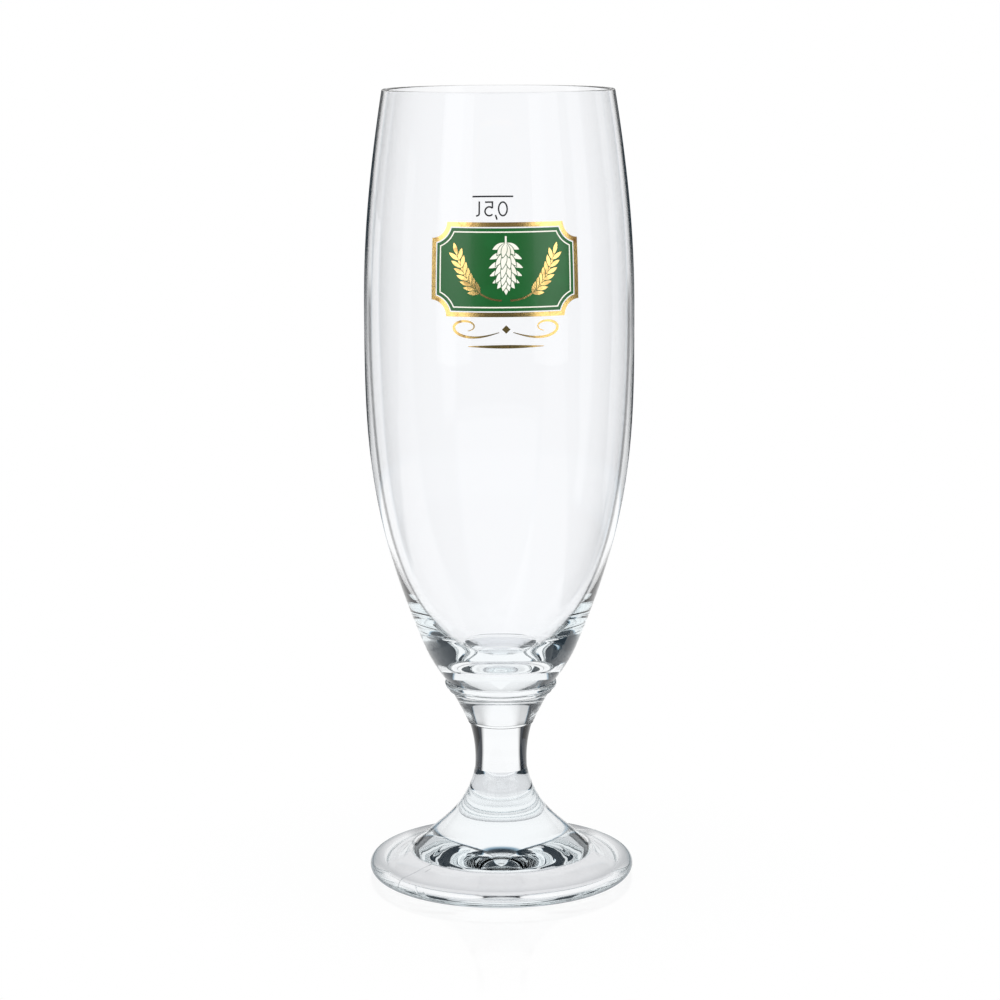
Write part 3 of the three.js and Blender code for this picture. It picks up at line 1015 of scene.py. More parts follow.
@dataclass(kw_only=True)
class Bowl(TurnedGlass):
    """Blown bowl: thick rounded base with a collar, thin wall and fire-polished rim."""

    node: str = "bowl"
    finish: GlassFinish = BOWL_GLASS
    belly_radius: float
    stem_ring_radius: float
    rim_radius: float = 34.2
    rim_wall: float = 1.3
    rim_reach: float = 35.7
    rim_spread: float = 5.8
    belly_rise: float = 107.4
    belly_wall: float = 1.2
    belly_reach_up: float = 18.0
    belly_reach_down: float = 30.8
    collar_radius: float = 16.9
    collar_round: float = 1.2
    collar_turn: float = 1.05
    base_radius: float = 22.8
    base_rise: float = 12.8
    base_round: float = 4.8
    base_reach: float = 39.3
    base_slope: float = 0.42
    floor_thickness: float = 8.7
    floor_radius: float = 12.0
    floor_step: float = 0.4
    inside_reach_down: float = 83.0
    inside_reach_up: float = 3.4
    inside_spread: float = 2.8
    wall_steps: int = 80

    def collar_middle(self) -> Vector:
        """Middle of the collar's round."""
        height = self.foot_height + self.joint_gap + self.collar_round
        return at(self.collar_radius - self.collar_round, height)

    def collar_top(self) -> Vector:
        """Place where the collar's round meets the base."""
        return self.collar_middle() + self.collar_round * heading(self.collar_turn)

    def outside(self) -> Outline:
        """Outline of the outer wall, from the collar to the lip.

        Returns:
            The outline, open at both ends.
        """
        belly = self.foot_height + self.belly_rise
        lip = self.top_height - self.rim_wall / 2
        base = at(self.base_radius, self.foot_height + self.base_rise)
        slope = at(self.base_slope, 1)
        wall = Outline(*self.collar_top())
        wall.curve(base - slope * self.base_round, base, steps=24)
        wall.curve(
            base + slope * self.base_reach,
            at(self.belly_radius, belly - self.belly_reach_down),
            at(self.belly_radius, belly),
            steps=self.wall_steps,
        )
        wall.curve(
            at(self.belly_radius, belly + self.belly_reach_up),
            at(self.rim_radius + self.rim_spread, lip - self.rim_reach),
            at(self.rim_radius, lip),
            steps=self.wall_steps,
        )
        return wall

    def outline(self) -> Points:
        """Draws the collar, the outside, the rim, the inside and the floor.

        Returns:
            Points of the outline, from the axis below to the axis above.
        """
        bottom = self.foot_height + self.joint_gap
        belly = self.foot_height + self.belly_rise
        lip = self.top_height - self.rim_wall / 2
        floor = self.foot_height + self.floor_thickness
        inside_belly = self.belly_radius - self.belly_wall
        inside_rim = self.rim_radius - self.rim_wall
        line = Outline(0, bottom)
        line.to(self.stem_ring_radius, bottom)
        line.arc(self.collar_middle(), self.collar_round, DOWN, self.collar_turn)
        line.points += self.outside().points
        line.arc(at(self.rim_radius - self.rim_wall / 2, lip), self.rim_wall / 2, 0, math.pi)
        line.curve(
            at(inside_rim + self.rim_spread, lip - self.rim_reach),
            at(inside_belly, belly + self.belly_reach_up),
            at(inside_belly, belly),
            steps=self.wall_steps,
        )
        line.curve(
            at(inside_belly, belly - self.inside_reach_down),
            at(self.floor_radius + self.inside_spread, floor + self.floor_step + self.inside_reach_up),
            at(self.floor_radius, floor + self.floor_step),
            steps=self.wall_steps,
        )
        line.to(self.floor_radius, floor)
        line.to(0, floor)
        return line.eased(self.ease)

    def fused_radii(self) -> dict[float, float]:
        """Radius of the bottom face where it is fused to the stem."""
        return {self.foot_height + self.joint_gap: self.stem_ring_radius}


class Drawing:
    """Flat areas of print, each laid over the ones before it."""

    def __init__(self) -> None:
        """Starts with no print."""
        self.areas: list[tuple[Points, bool]] = []

    def fill(self, outline: Points) -> Drawing:
        """Prints an area.

        Args:
            outline: Its outline.

        Returns:
            This drawing.
        """
        self.areas.append((outline, True))
        return self

    def bare(self, outline: Points) -> Drawing:
        """Clears an area.

        Args:
            outline: Its outline.

        Returns:
            This drawing.
        """
        self.areas.append((outline, False))
        return self

    def line(self, points: Points, width_at: Callable[[float], float]) -> Drawing:
        """Prints a line with mitred corners.

        Args:
            points: Places that it passes.
            width_at: Its width for a share of the way from 0 to 1.

        Returns:
            This drawing.
        """
        last = len(points) - 1
        normals = [(b - a).normalized().orthogonal() for a, b in zip(points, points[1:])]
        rails = []
        for i, point in enumerate(points):
            before, after = normals[max(i - 1, 0)], normals[min(i, last - 1)]
            mitre = (before + after).normalized()
            offset = mitre * (width_at(i / last) / 2 / mitre.dot(before))
            rails.append((point - offset, point + offset))
        for (a, b), (c, d) in zip(rails, rails[1:]):
            self.fill([a, c, d, b])
        return self

    def triangles(self, facet: float) -> tuple[Points, list[tuple[int, ...]]]:
        """Cuts the printed areas into small triangles.

        Args:
            facet: Longest way across a triangle, along or up the print.

        Returns:
            Corner places, and the corners of each triangle.
        """
        corners = [p for outline, _ in self.areas for p in outline]
        faces = []
        for outline, _ in self.areas:
            first = faces[-1][-1] + 1 if faces else 0
            faces.append(list(range(first, first + len(outline))))
        edges = []
        low = at(min(p.x for p in corners), min(p.y for p in corners))
        high = at(max(p.x for p in corners), max(p.y for p in corners))
        for axis, other in ((0, 1), (1, 0)):
            count = math.ceil((high[axis] - low[axis]) / facet)
            for i in range(1, count):
                for end in (low[other] - 1, high[other] + 1):
                    place = at(0, 0)
                    place[axis] = low[axis] + (high[axis] - low[axis]) * i / count
                    place[other] = end
                    corners.append(place)
                edges.append((len(corners) - 2, len(corners) - 1))
        places, _, cut, _, _, sources = delaunay_2d_cdt(corners, edges, faces, 1, 1e-5)
        kept = [face for face, over in zip(cut, sources) if over and self.areas[max(over)][1]]
        return places, kept


@dataclass
class Print:
    """A drawing and how it is fired on the bowl.

    Attributes:
        node: Solid that the print stands for.
        drawing: What is printed.
        height: Height of the drawing's level line.
        slot: Material slot of the record; not used.
        material: Its finish.
        layer: Print layer that it belongs to.
        across: Place of its upright line along the glass.
        facing: Wall of the bowl that it is on.
    """

    node: str
    drawing: Drawing
    height: float
    slot: Slot
    material: bpy.types.Material
    layer: Layer = Layer.ON_GLASS
    across: float = 0.0
    facing: Facing = Facing.FRONT


@dataclass
class PrintPress:
    """Lays drawings on the outside of the bowl."""

    bowl: Bowl
    film: float = 0.05
    clearance: float = 0.02
    facet: float = 1.6

    def __post_init__(self) -> None:
        """Keeps the wall's heights and radii for looking up."""
        wall = self.bowl.outside().points
        self.wall_heights = [p.y for p in wall]
        self.wall_radii = [p.x for p in wall]

    def wall_radius(self, height: float) -> float:
        """Outside radius of the bowl.

        Args:
            height: Height between collar and lip.

        Returns:
            The radius there.
        """
        i = min(max(bisect.bisect(self.wall_heights, height), 1), len(self.wall_heights) - 1)
        low, high = self.wall_heights[i - 1], self.wall_heights[i]
        share = (height - low) / (high - low)
        return self.wall_radii[i - 1] * (1 - share) + self.wall_radii[i] * share

    def lay(self, item: Print) -> bpy.types.Object:
        """Bends a drawing round the bowl as a thin closed film.

        Args:
            item: The print.

        Returns:
            The film.
        """
        places, faces = item.drawing.triangles(self.facet)
        turn = self.wall_radius(item.height)
        lift = self.clearance + item.layer.value * (self.film + self.clearance)
        mesh = bmesh.new()
        levels = []
        for offset in (lift, lift + self.film):
            verts = []
            for place in places:
                height = item.height + place.y
                radius = (self.wall_radius(height) + offset) * MM
                angle = item.facing.value + (item.across + place.x) / turn
                spot = (radius * math.sin(angle), -radius * math.cos(angle), height * MM)
                verts.append(mesh.verts.new(spot))
            levels.append(verts)
        under, over = levels
        for face in faces:
            mesh.faces.new([over[i] for i in face]).smooth = True
            mesh.faces.new([under[i] for i in reversed(face)]).smooth = True
        edges = [edge for face in faces for edge in zip(face, (*face[1:], face[0]))]
        shared = set(edges)
        for a, b in edges:
            if (b, a) not in shared:
                mesh.faces.new([under[a], under[b], over[b], over[a]])
        loose = [v for v in mesh.verts if not v.link_faces]
        bmesh.ops.delete(mesh, geom=loose, context="VERTS")
        return settle(item.node, "print", mesh)

    def fire(self, *prints: Print) -> list[bpy.types.Object]:
        """Lays and dresses prints in order.

        Args:
            prints: The prints.

        Returns:
            Their films.
        """
        films = [self.lay(item) for item in prints]
        for item, film in zip(prints, films):
            dress(film, item.node, item.material)
        return films


def oval(centre: Vector, width: float, height: float, start: float = 0.0, end: float = TURN,
         steps: int = 48) -> Points:
    """Places on an oval.

    Args:
        centre: Its centre.
        width: Its whole width.
        height: Its whole height.
        start: Angle of its first place, in radians.
        end: Angle of its last place; a whole turn leaves the last place out.
        steps: Number of straight steps.

    Returns:
        The places.
    """
    count = steps if abs(end - start) >= TURN else steps + 1
    angles = [start + (end - start) * i / steps for i in range(count)]
    return [centre + at(math.cos(a) * width / 2, math.sin(a) * height / 2) for a in angles]


def leaf(root: Vector, direction: float, length: float, width: float, steps: int = 12) -> Points:
    """Outline of a pointed leaf.

    Args:
        root: Where it starts.
        direction: Where it points, in radians.
        length: Its length.
        width: Twice its greatest width.
        steps: Number of steps on each side.

    Returns:
        The outline, counter-clockwise.
    """
    way = heading(direction)
    aside = way.orthogonal()
    tip = root + way * length
    middle = root + way * (length / 2)
    right = [along_curve([root, middle - aside * width, tip], i / steps) for i in range(steps)]
    left = [along_curve([tip, middle + aside * width, root], i / steps) for i in range(steps)]
    return right + left


def steady(width: float) -> Callable[[float], float]:
    """Width of a line that stays the same."""
    return lambda share: width


def swelled(width: float, fine: float = 0.2) -> Callable[[float], float]:
    """Width of a line that swells from a fine point to its middle and back.

    Args:
        width: Width in the middle.
        fine: Width at the ends.

    Returns:
        Width for a share of the way.
    """
    return lambda share: fine + (width - fine) * math.sin(math.pi * share)


def middle_height(node: str) -> float:
    """Height of the middle of a solid."""
    low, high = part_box(node)
    return (low.z + high.z) / 2 / MM


@dataclass
class FillMark:
    """Fill line with a plain capacity figure under it, on the back wall."""

    press: PrintPress
    finish: EnamelFinish = GREY
    line_length: float = 12.9
    stroke: float = 0.5
    figure_height: float = 4.7
    figure_width: float = 3.2
    figure_space: float = 1.1
    five_loop_share: float = 0.58
    five_loop_start: float = 2.4
    litre_steps: int = 8

    def make(self) -> list[bpy.types.Object]:
        """Builds and dresses the line and the figures.

        Returns:
            The prints.
        """
        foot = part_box("fill_zero")[0].z / MM
        step = self.figure_width + self.figure_space
        half = self.line_length / 2
        rule = Drawing().line([at(-half, 0), at(half, 0)], steady(self.stroke))
        rows = [
            ("fill_line", rule, middle_height("fill_line"), 0.0),
            ("fill_zero", self.zero(), foot, self.figure_space - step),
            ("fill_comma", self.comma(), foot, -self.figure_space),
            ("fill_five", self.five(), foot, self.figure_space),
            ("fill_litre", self.litre(), foot, step),
        ]
        material = self.finish.material()
        return self.press.fire(*(
            Print(node, drawing, height, Slot.GREY, material, across=across, facing=Facing.BACK)
            for node, drawing, height, across in rows
        ))

    def zero(self) -> Drawing:
        """Figure 0: a closed line along an oval.

        Returns:
            The drawing.
        """
        middle = at(0, self.figure_height / 2)
        thin = 2 * self.stroke
        outer = oval(middle, self.figure_width, self.figure_height)
        return Drawing().fill(outer).bare(oval(middle, self.figure_width - thin, self.figure_height - thin))

    def five(self) -> Drawing:
        """Figure 5: a flag, a back and an open loop.

        Returns:
            The drawing.
        """
        top = self.figure_height - self.stroke / 2
        reach = (self.figure_width - self.stroke) / 2
        loop_height = self.figure_height * self.five_loop_share
        middle = at(0, (loop_height + self.stroke) / 2)
        loop = oval(middle, 2 * reach, loop_height, self.five_loop_start, -self.five_loop_start)
        back = [at(reach, top), at(loop[0].x, top), loop[0]]
        return Drawing().line(back, steady(self.stroke)).line(loop, steady(self.stroke))

    def litre(self) -> Drawing:
        """Letter l: an upright with a small foot.

        Returns:
            The drawing.
        """
        low = self.stroke / 2
        reach = 2 * self.stroke
        upright = Outline(0, self.figure_height).to(0, reach)
        upright.curve(at(0, low), at(reach, low), steps=self.litre_steps)
        return Drawing().line(upright.points, steady(self.stroke))

    def comma(self) -> Drawing:
        """Comma: a short slanted stroke."""
        half = self.stroke / 2
        return Drawing().line([at(half, self.stroke), at(-half, -2 * self.stroke)], steady(self.stroke))


@dataclass
class Badge:
    """Badge with scooped corners: gold border, green field, cream and gold plants."""

    press: PrintPress
    green: EnamelFinish = GREEN
    cream: EnamelFinish = CREAM
    gold: GoldFinish = GoldFinish("badge_gold")
    width: float = 43.5
    height: float = 26.6
    scoop: float = 4.6
    border: float = 1.3
    border_gap: float = 0.35
    keyline_inset: float = 0.9
    keyline: float = 0.35
    stalk: float = 0.5
    vein: float = 0.16
    hop_height: float = 16.5
    hop_rise: float = 1.2
    hop_tiers: int = 5
    hop_stalk_share: float = 0.8
    hop_stalk_tuck: float = 0.3
    hop_petal: float = 5.4
    hop_short_petal: float = 3.0
    hop_petal_width: float = 1.5
    hop_droops: tuple[float, ...] = (1.35, 0.95, 0.45)
    barley_offset: float = 1.2
    barley_drop: float = 8.6
    barley_spread: float = 13.0
    barley_rise: float = 13.5
    barley_bend: float = 9.0
    barley_rows: int = 7
    barley_bare: float = 0.38
    barley_tip: float = 0.97
    barley_ahead: float = 0.01
    barley_steps: int = 24
    grain_length: float = 3.6
    grain_width: float = 1.15
    grain_angle: float = 0.6

    def make(self) -> list[bpy.types.Object]:
        """Builds and dresses the badge.

        Returns:
            The prints.
        """
        height = middle_height("plaque_border")
        field_inset = self.border + self.border_gap
        key_inset = field_inset + self.keyline_inset
        field = Drawing().fill(self.loop(field_inset))
        green, cream, gold = self.green.material(), self.cream.material(), self.gold.material()
        rows = [
            ("plaque_border", self.ring(0, self.border), Slot.GOLD, gold, Layer.ON_GLASS),
            ("plaque_field", field, Slot.GREEN, green, Layer.ON_GLASS),
            ("plaque_keyline", self.ring(key_inset, self.keyline), Slot.CREAM, cream, Layer.ON_FIELD),
            ("hop_cone", self.hop(), Slot.CREAM, cream, Layer.ON_FIELD),
            ("barley_left", self.barley(Side.LEFT), Slot.GOLD, gold, Layer.ON_FIELD),
            ("barley_right", self.barley(Side.RIGHT), Slot.GOLD, gold, Layer.ON_FIELD),
        ]
        return self.press.fire(*(
            Print(node, drawing, height, slot, material, layer)
            for node, drawing, slot, material, layer in rows
        ))

    def loop(self, inset: float) -> Points:
        """Outline of the badge.

        Args:
            inset: How far it is set in from the badge's outer edge.

        Returns:
            Places round it, counter-clockwise.
        """
        scoop = self.scoop + inset
        lift = math.asin(inset / scoop)
        places = []
        for i, (x, y) in enumerate(((-1, -1), (1, -1), (1, 1), (-1, 1))):
            centre = at(x * self.width / 2, y * self.height / 2)
            quarter = i * UP
            places += oval(centre, 2 * scoop, 2 * scoop, UP - lift + quarter, lift + quarter, 20)
        return places

    def ring(self, inset: float, width: float) -> Drawing:
        """A closed line round the badge.

        Args:
            inset: How far it is set in from the badge's outer edge.
            width: Its width.

        Returns:
            The drawing.
        """
        return Drawing().fill(self.loop(inset)).bare(self.loop(inset + width))

    def scale(self, drawing: Drawing, root: Vector, direction: float, length: float, width: float) -> None:
        """Lays one leaf over the others with a fine bare line round it.

        Args:
            drawing: Drawing that it is added to.
            root: Where it starts.
            direction: Where it points, in radians.
            length: Its length.
            width: Twice its greatest width.
        """
        vein = self.vein
        behind = root - heading(direction) * vein
        drawing.bare(leaf(behind, direction, length + 3 * vein, width + 2.4 * vein))
        drawing.fill(leaf(root, direction, length, width))

    def hop(self) -> Drawing:
        """Hop cone: tiers of petals that overlap downwards, on a short stalk.

        Returns:
            The drawing.
        """
        pitch = self.hop_height / (self.hop_tiers + 2)
        top = self.hop_rise + self.hop_height / 2
        tip = top - self.hop_height
        drawing = Drawing().fill(leaf(at(0, tip + 2 * pitch), DOWN, 2 * pitch, self.hop_petal_width))
        for tier in reversed(range(self.hop_tiers)):
            root = at(0, top - pitch * (tier + self.hop_stalk_share))
            swell = math.sin(math.pi * (tier + 1) / (self.hop_tiers + 1))
            length = self.hop_short_petal + (self.hop_petal - self.hop_short_petal) * swell
            for droop in reversed(self.hop_droops):
                self.scale(drawing, root, -droop, length, self.hop_petal_width)
                self.scale(drawing, root, math.pi + droop, length, self.hop_petal_width)
        stalk_foot = at(0, top - pitch * (self.hop_stalk_share + self.hop_stalk_tuck))
        return drawing.line([at(0, top), stalk_foot], steady(self.stalk))

    def barley(self, side: Side) -> Drawing:
        """Barley ear: a stalk that curves up and out, with pairs of grains and a beard.

        Args:
            side: Side of the badge that it is on.

        Returns:
            The drawing.
        """
        hand = side.value
        shape = [
            at(hand * self.barley_offset, -self.barley_drop),
            at(hand * (self.barley_offset + self.barley_bend), -self.barley_drop),
            at(hand * (self.barley_offset + self.barley_spread), self.barley_rise - self.barley_drop),
        ]
        steps = self.barley_steps
        stalk = [along_curve(shape, i / steps) for i in range(steps + 1)]
        drawing = Drawing().line(stalk, steady(self.stalk))
        for row in reversed(range(self.barley_rows)):
            share = self.barley_bare + (1 - self.barley_bare) * row / self.barley_rows
            root = along_curve(shape, share)
            ahead = along_curve(shape, share + self.barley_ahead) - root
            lean = math.atan2(ahead.y, ahead.x)
            for turn in (self.grain_angle, -self.grain_angle):
                self.scale(drawing, root, lean + turn, self.grain_length, self.grain_width)
        ahead = shape[2] - shape[1]
        lean = math.atan2(ahead.y, ahead.x)
        tip = along_curve(shape, self.barley_tip)
        self.scale(drawing, tip, lean, self.grain_length, self.grain_width)
        return drawing


@dataclass
class Ornament:
    """Gold ornament under the badge: a pair of scrolls, a diamond and a swelled rule."""

    press: PrintPress
    gold: GoldFinish = GoldFinish("scroll_gold")
    scroll_length: float = 13.0
    scroll_height: float = 4.6
    scroll_stroke: float = 0.8
    scroll_curl: float = 6.6
    scroll_dip: float = 0.5
    scroll_steps: int = 90
    diamond: float = 2.4
    rule_length: float = 21.6
    rule_stroke: float = 1.0
    rule_steps: int = 40

    def make(self) -> list[bpy.types.Object]:
        """Builds and dresses the ornament.

        Returns:
            The prints.
        """
        level = middle_height("scroll_diamond")
        half = self.diamond / 2
        diamond = Drawing().fill([at(-half, 0), at(0, -half), at(half, 0), at(0, half)])
        steps = self.rule_steps
        along = [at((i / steps - 0.5) * self.rule_length, 0) for i in range(steps + 1)]
        rule = Drawing().line(along, swelled(self.rule_stroke))
        rows = [
            ("scroll_left", self.scroll(Side.LEFT), level),
            ("scroll_right", self.scroll(Side.RIGHT), level),
            ("scroll_diamond", diamond, level),
            ("swelled_rule", rule, middle_height("swelled_rule")),
        ]
        material = self.gold.material()
        return self.press.fire(*(
            Print(node, drawing, height, Slot.GOLD, material) for node, drawing, height in rows
        ))

    def scroll(self, side: Side) -> Drawing:
        """Scroll whose bend grows evenly along it, from none to a curl.

        Args:
            side: Side of the diamond that it is on.

        Returns:
            The drawing.
        """
        drawn = [at(0, 0)]
        for i in range(self.scroll_steps):
            share = (i + 0.5) / self.scroll_steps
            drawn.append(drawn[-1] + heading(self.scroll_curl * share * share - self.scroll_dip))
        left, right = min(p.x for p in drawn), max(p.x for p in drawn)
        low, high = min(p.y for p in drawn), max(p.y for p in drawn)
        start = self.diamond / 2 + self.scroll_stroke
        points = []
        for p in drawn:
            along = start + (p.x - left) / (right - left) * self.scroll_length
            up = ((p.y - low) / (high - low) - 0.5) * self.scroll_height
            points.append(at(side.value * along, up))
        return Drawing().line(points, swelled(self.scroll_stroke))


@dataclass(frozen=True)
class Wedge:
    """A lit wedge that opens from the goblet, on the floor or in the surroundings.

    Attributes:
        turn: Angle of its middle line; a quarter turn points away from the camera.
        spread: How far it widens to each side for each unit along that line.
        soft: How much further its soft edge widens.
        width: Its half width at the goblet.
    """

    turn: float
    spread: float
    soft: float
    width: float = 0.0

    def share(self, x: Wire, y: Wire) -> Wire:
        """Share of light in the wedge.

        Args:
            x: Place in metres, or direction, to the right.
            y: Place or direction away from the camera.

        Returns:
            1 inside the wedge and 0 outside.
        """
        along = x * math.cos(self.turn) + y * math.sin(self.turn)
        aside = y * math.cos(self.turn) - x * math.sin(self.turn)
        ratio = (aside.maths("ABSOLUTE", aside) - self.width * MM) / (along | 0.001)
        return ratio.ramp(self.spread + self.soft, self.spread) * along.ramp(-0.02, 0.0)


BACKDROP = Wedge(math.radians(87), spread=0.68, soft=0.17)
FRONT = Wedge(math.radians(-90), spread=0.72, soft=0.22)
STRIP = Wedge(math.radians(180), spread=0.07, soft=0.05)


@dataclass(frozen=True)
class Shade:
    """Colours that the glass shows, from the dark of the studio through a bluish fringe to white.

    Attributes:
        fringe_full: Share of light that gives the fringe its full colour.
        white_from: Share of light from which the fringe turns white.
    """

    unlit: Colour = (0.024, 0.034, 0.043)
    fringe: Colour = (0.30, 0.43, 0.53)
    fringe_full: float = 0.55
    white_from: float = 0.45

    def colour(self, sheet: NodeSheet, lit: Wire) -> bpy.types.NodeSocket:
        """Mixes the colours.

        Args:
            sheet: Node sheet to add to.
            lit: Share of light from 0 to 1.

        Returns:
            The colour.
        """
        dim = sheet.blend(lit.ramp(0.0, self.fringe_full), self.unlit, self.fringe)
        return sheet.blend(lit.ramp(self.white_from, 1.0), dim, WHITE)


@dataclass(frozen=True)
class FloorFinish(Finish):
    """White floor with a faint shadow and mirror image, partly dark where the glass shows it, and with a
    painted shadow under the foot.

    A pair of distances from the goblet's axis gives where something starts and where it is full.

    Attributes:
        foot_shadow_reach: Distances for the painted shadow on the floor that is seen through the foot.
        lit_reach: Distances for the lit floor round the foot.
        image_light_reach: Distances for the light that the glass mirrors.
        image_light: Strength of that light.
        image_dark_reach: Distances for the dark that the glass mirrors.
        image_dark: Strength of that dark.
        glow_near: Share of the floor that glows by itself near the goblet, so that shadows are faint.
        glow_reach: Distances for the floor that only glows.
    """

    shade: Shade = Shade()
    matt: Colour = (0.9, 0.9, 0.9)
    # painted_foot_shadow is the colour of the painted shadow under the foot
    painted_foot_shadow: Colour = (0.84, 0.84, 0.85)
    foot_shadow_reach: tuple[float, float] = (44.0, 36.0)
    lit_reach: tuple[float, float] = (90.0, 60.0)
    backdrop_width: float = 80.0
    strip_turns: tuple[float, ...] = (math.radians(135), math.radians(180), math.radians(315))
    strip_width: float = 55.0
    image_light_reach: tuple[float, float] = (260.0, 320.0)
    image_light: float = 0.7
    image_dark_reach: tuple[float, float] = (420.0, 520.0)
    image_dark: float = 0.95
    glow_near: float = 0.96
    glow_reach: tuple[float, float] = (50.0, 120.0)
    polish: float = 0.08
    polish_reach: tuple[float, float] = (120.0, 40.0)
    polish_roughness: float = 0.02

    def sockets(self, sheet: NodeSheet) -> dict[str, bpy.types.NodeSocket]:
        """Adds the nodes of the floor.

        Args:
            sheet: Node sheet of its material.

        Returns:
            Its surface.
        """
        passing = sheet.ray(Ray.TRANSMISSION)
        mirrored = sheet.ray(Ray.GLOSSY) * (1 - passing)
        seen = sheet.ray(Ray.CAMERA) | passing | mirrored
        place = sheet.place()
        x, y, _ = sheet.parts(place)
        length = sheet.add("ShaderNodeVectorMath", {"operation": "LENGTH"}, {0: place})
        away = sheet.wire(length, "Value") / MM
        lit = away.ramp(*self.lit_reach) | replace(BACKDROP, width=self.backdrop_width).share(x, y)
        for turn in self.strip_turns:
            lit = lit | replace(STRIP, turn=turn, width=self.strip_width).share(x, y)
        lit = lit | self.image_light * mirrored * away.ramp(*self.image_light_reach)
        lit = lit * (1 - self.image_dark * mirrored * away.ramp(*self.image_dark_reach))
        # Painted shadow on the floor under the foot, which only the glass shows
        painted_foot_shadow = away.ramp(*self.foot_shadow_reach)
        beyond = sheet.blend(painted_foot_shadow, self.shade.colour(sheet, lit), self.painted_foot_shadow)
        colour = sheet.blend(passing | mirrored, WHITE, beyond)
        glow = sheet.add("ShaderNodeEmission", None, {"Color": colour})
        matt = sheet.add("ShaderNodeBsdfDiffuse", None, {"Color": self.matt})
        glowing = self.glow_near + (1 - self.glow_near) * away.ramp(*self.glow_reach)
        white = sheet.mix(seen * glowing, matt, glow)
        inputs = {"Color": WHITE, "Roughness": self.polish_roughness}
        gloss = sheet.add("ShaderNodeBsdfGlossy", None, inputs)
        polished = sheet.mix(self.polish * away.ramp(*self.polish_reach), white, gloss)
        return {"Surface": polished.outputs["Shader"]}


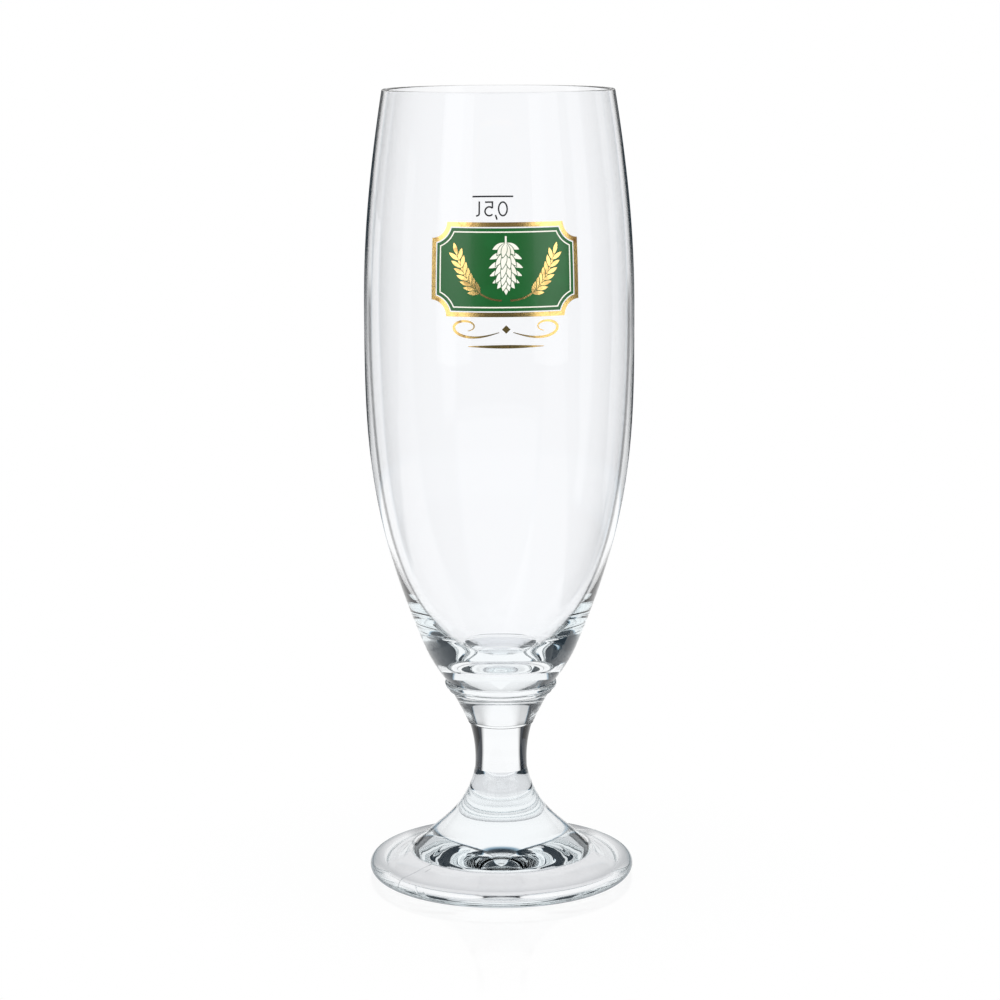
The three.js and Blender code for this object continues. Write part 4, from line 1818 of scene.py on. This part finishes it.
@dataclass
class Studio:
    """White studio: floor, surroundings, two softboxes and the camera.

    A pair of heights is the upward part of a direction where something starts and where it is full.

    Attributes:
        ambient: Brightness of the surroundings for what isn't glass.
        room_low: Brightness of the room that the glass mirrors, at eye level.
        room_high: Its brightness higher up.
    """

    camera_distance: float = 828.8
    camera_height: float = 263.84
    camera_turn: float = math.radians(2.8)
    camera_pitch: float = math.radians(10.187)
    camera_roll: float = math.radians(0.236)
    lens: float = 101.16
    sensor: float = 36.0
    floor_size: float = 40000.0
    softbox_distance: float = 1200.0
    softbox_turn: float = math.radians(41)
    softbox_width: float = 640.0
    softbox_length: float = 1100.0
    softbox_height: float = 420.0
    softbox_watts: float = 4.4
    ambient: float = 0.85
    room_low: float = 0.22
    room_high: float = 0.132
    room_heights: tuple[float, float] = (0.0, 0.15)
    backdrop_heights: tuple[float, float] = (0.9, 0.75)
    strip_heights: tuple[float, float] = (0.16, 0.12)
    image_heights: tuple[float, float] = (0.06, 0.12)
    shade: Shade = Shade()
    bounces: int = 32
    mirror_bounces: int = 16

    def make(self) -> None:
        """Sets up everything round the goblet."""
        self.surroundings()
        self.floor()
        for side in Side:
            self.softbox(side)
        self.camera()
        scene = bpy.context.scene
        scene.view_settings.view_transform = "Standard"
        scene.cycles.max_bounces = self.bounces
        scene.cycles.transmission_bounces = self.bounces
        scene.cycles.glossy_bounces = self.mirror_bounces
        scene.cycles.transparent_max_bounces = self.bounces

    def surroundings(self) -> None:
        """Makes the world: white to the eye, dark at the sides through glass, grey in reflections."""
        world = bpy.data.worlds.new("studio")
        bpy.context.scene.world = world
        sheet = NodeSheet(world)
        x, y, up = sheet.parts(sheet.add("ShaderNodeTexCoord").outputs["Generated"])
        backdrop = BACKDROP.share(x, y) * up.ramp(*self.backdrop_heights)
        strip = STRIP.share(x, y) * up.ramp(*self.strip_heights)
        beyond = self.shade.colour(sheet, backdrop | strip | FRONT.share(x, y))
        room = sheet.blend(up.ramp(*self.room_heights), grey(self.room_low), grey(self.room_high))
        mirrored = sheet.blend(backdrop * up.ramp(*self.image_heights), room, WHITE)
        colour = sheet.blend(sheet.ray(Ray.GLOSSY), grey(self.ambient), mirrored)
        colour = sheet.blend(sheet.ray(Ray.TRANSMISSION), colour, beyond)
        colour = sheet.blend(sheet.ray(Ray.CAMERA), colour, WHITE)
        background = sheet.add("ShaderNodeBackground", None, {"Color": colour})
        sheet.add("ShaderNodeOutputWorld", None, {"Surface": background.outputs["Background"]})

    def floor(self) -> None:
        """Lays the floor, level with the resting ring of the foot."""
        half = self.floor_size / 2 * MM
        mesh = bpy.data.meshes.new("floor")
        corners = [(x * half, y * half, 0) for x, y in ((-1, -1), (1, -1), (1, 1), (-1, 1))]
        mesh.from_pydata(corners, [], [(0, 1, 2, 3)])
        mesh.materials.append(FloorFinish("white_floor").material())
        floor = link("floor", mesh)

    def softbox(self, side: Side) -> None:
        """Hangs one softbox beside the camera.

        Args:
            side: Side that it is on.
        """
        light = bpy.data.lights.new(f"softbox_{side.name.lower()}", "AREA")
        light.shape = "RECTANGLE"
        light.size = self.softbox_width * MM
        light.size_y = self.softbox_length * MM
        light.energy = self.softbox_watts
        lamp = bpy.data.objects.new(light.name, light)
        lamp.visible_transmission = False
        angle = side.value * self.softbox_turn
        place = Vector((math.sin(angle), -math.cos(angle), 0)) * self.softbox_distance * MM
        lamp.location = place + Vector((0, 0, self.softbox_height * MM))
        lamp.rotation_euler = (-place).to_track_quat("-Z", "Y").to_euler()
        bpy.context.scene.collection.objects.link(lamp)

    def camera(self) -> None:
        """Sets the camera where the photograph was taken from."""
        data = bpy.data.cameras.new("camera")
        data.sensor_width = self.sensor
        data.lens = self.lens
        camera = bpy.data.objects.new("camera", data)
        back = Vector((-math.sin(self.camera_turn), -math.cos(self.camera_turn), 0))
        camera.location = back * self.camera_distance * MM + Vector((0, 0, self.camera_height * MM))
        forward = -back * math.cos(self.camera_pitch) - Vector((0, 0, math.sin(self.camera_pitch)))
        roll = Quaternion(forward, self.camera_roll)
        camera.rotation_mode = "QUATERNION"
        camera.rotation_quaternion = roll @ forward.to_track_quat("-Z", "Y")
        bpy.context.scene.collection.objects.link(camera)
        bpy.context.scene.camera = camera


def main() -> None:
    """Builds the studio, the glass and the prints in order."""
    logging.basicConfig(level=logging.INFO, format="%(name)s: %(message)s")
    Studio().make()
    foot = Foot(**TurnedGlass.heights("foot"), radius=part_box("foot")[1].x / MM)
    stem = Stem(**TurnedGlass.heights("stem"))
    bowl = Bowl(
        **TurnedGlass.heights("bowl"),
        belly_radius=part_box("bowl")[1].x / MM,
        stem_ring_radius=stem.ring_radius - stem.ring,
    )
    for glass in (foot, stem, bowl):
        glass.make()
    press = PrintPress(bowl)
    for prints in (FillMark(press), Badge(press), Ornament(press)):
        prints.make()


if __name__ == "__main__":
    main()
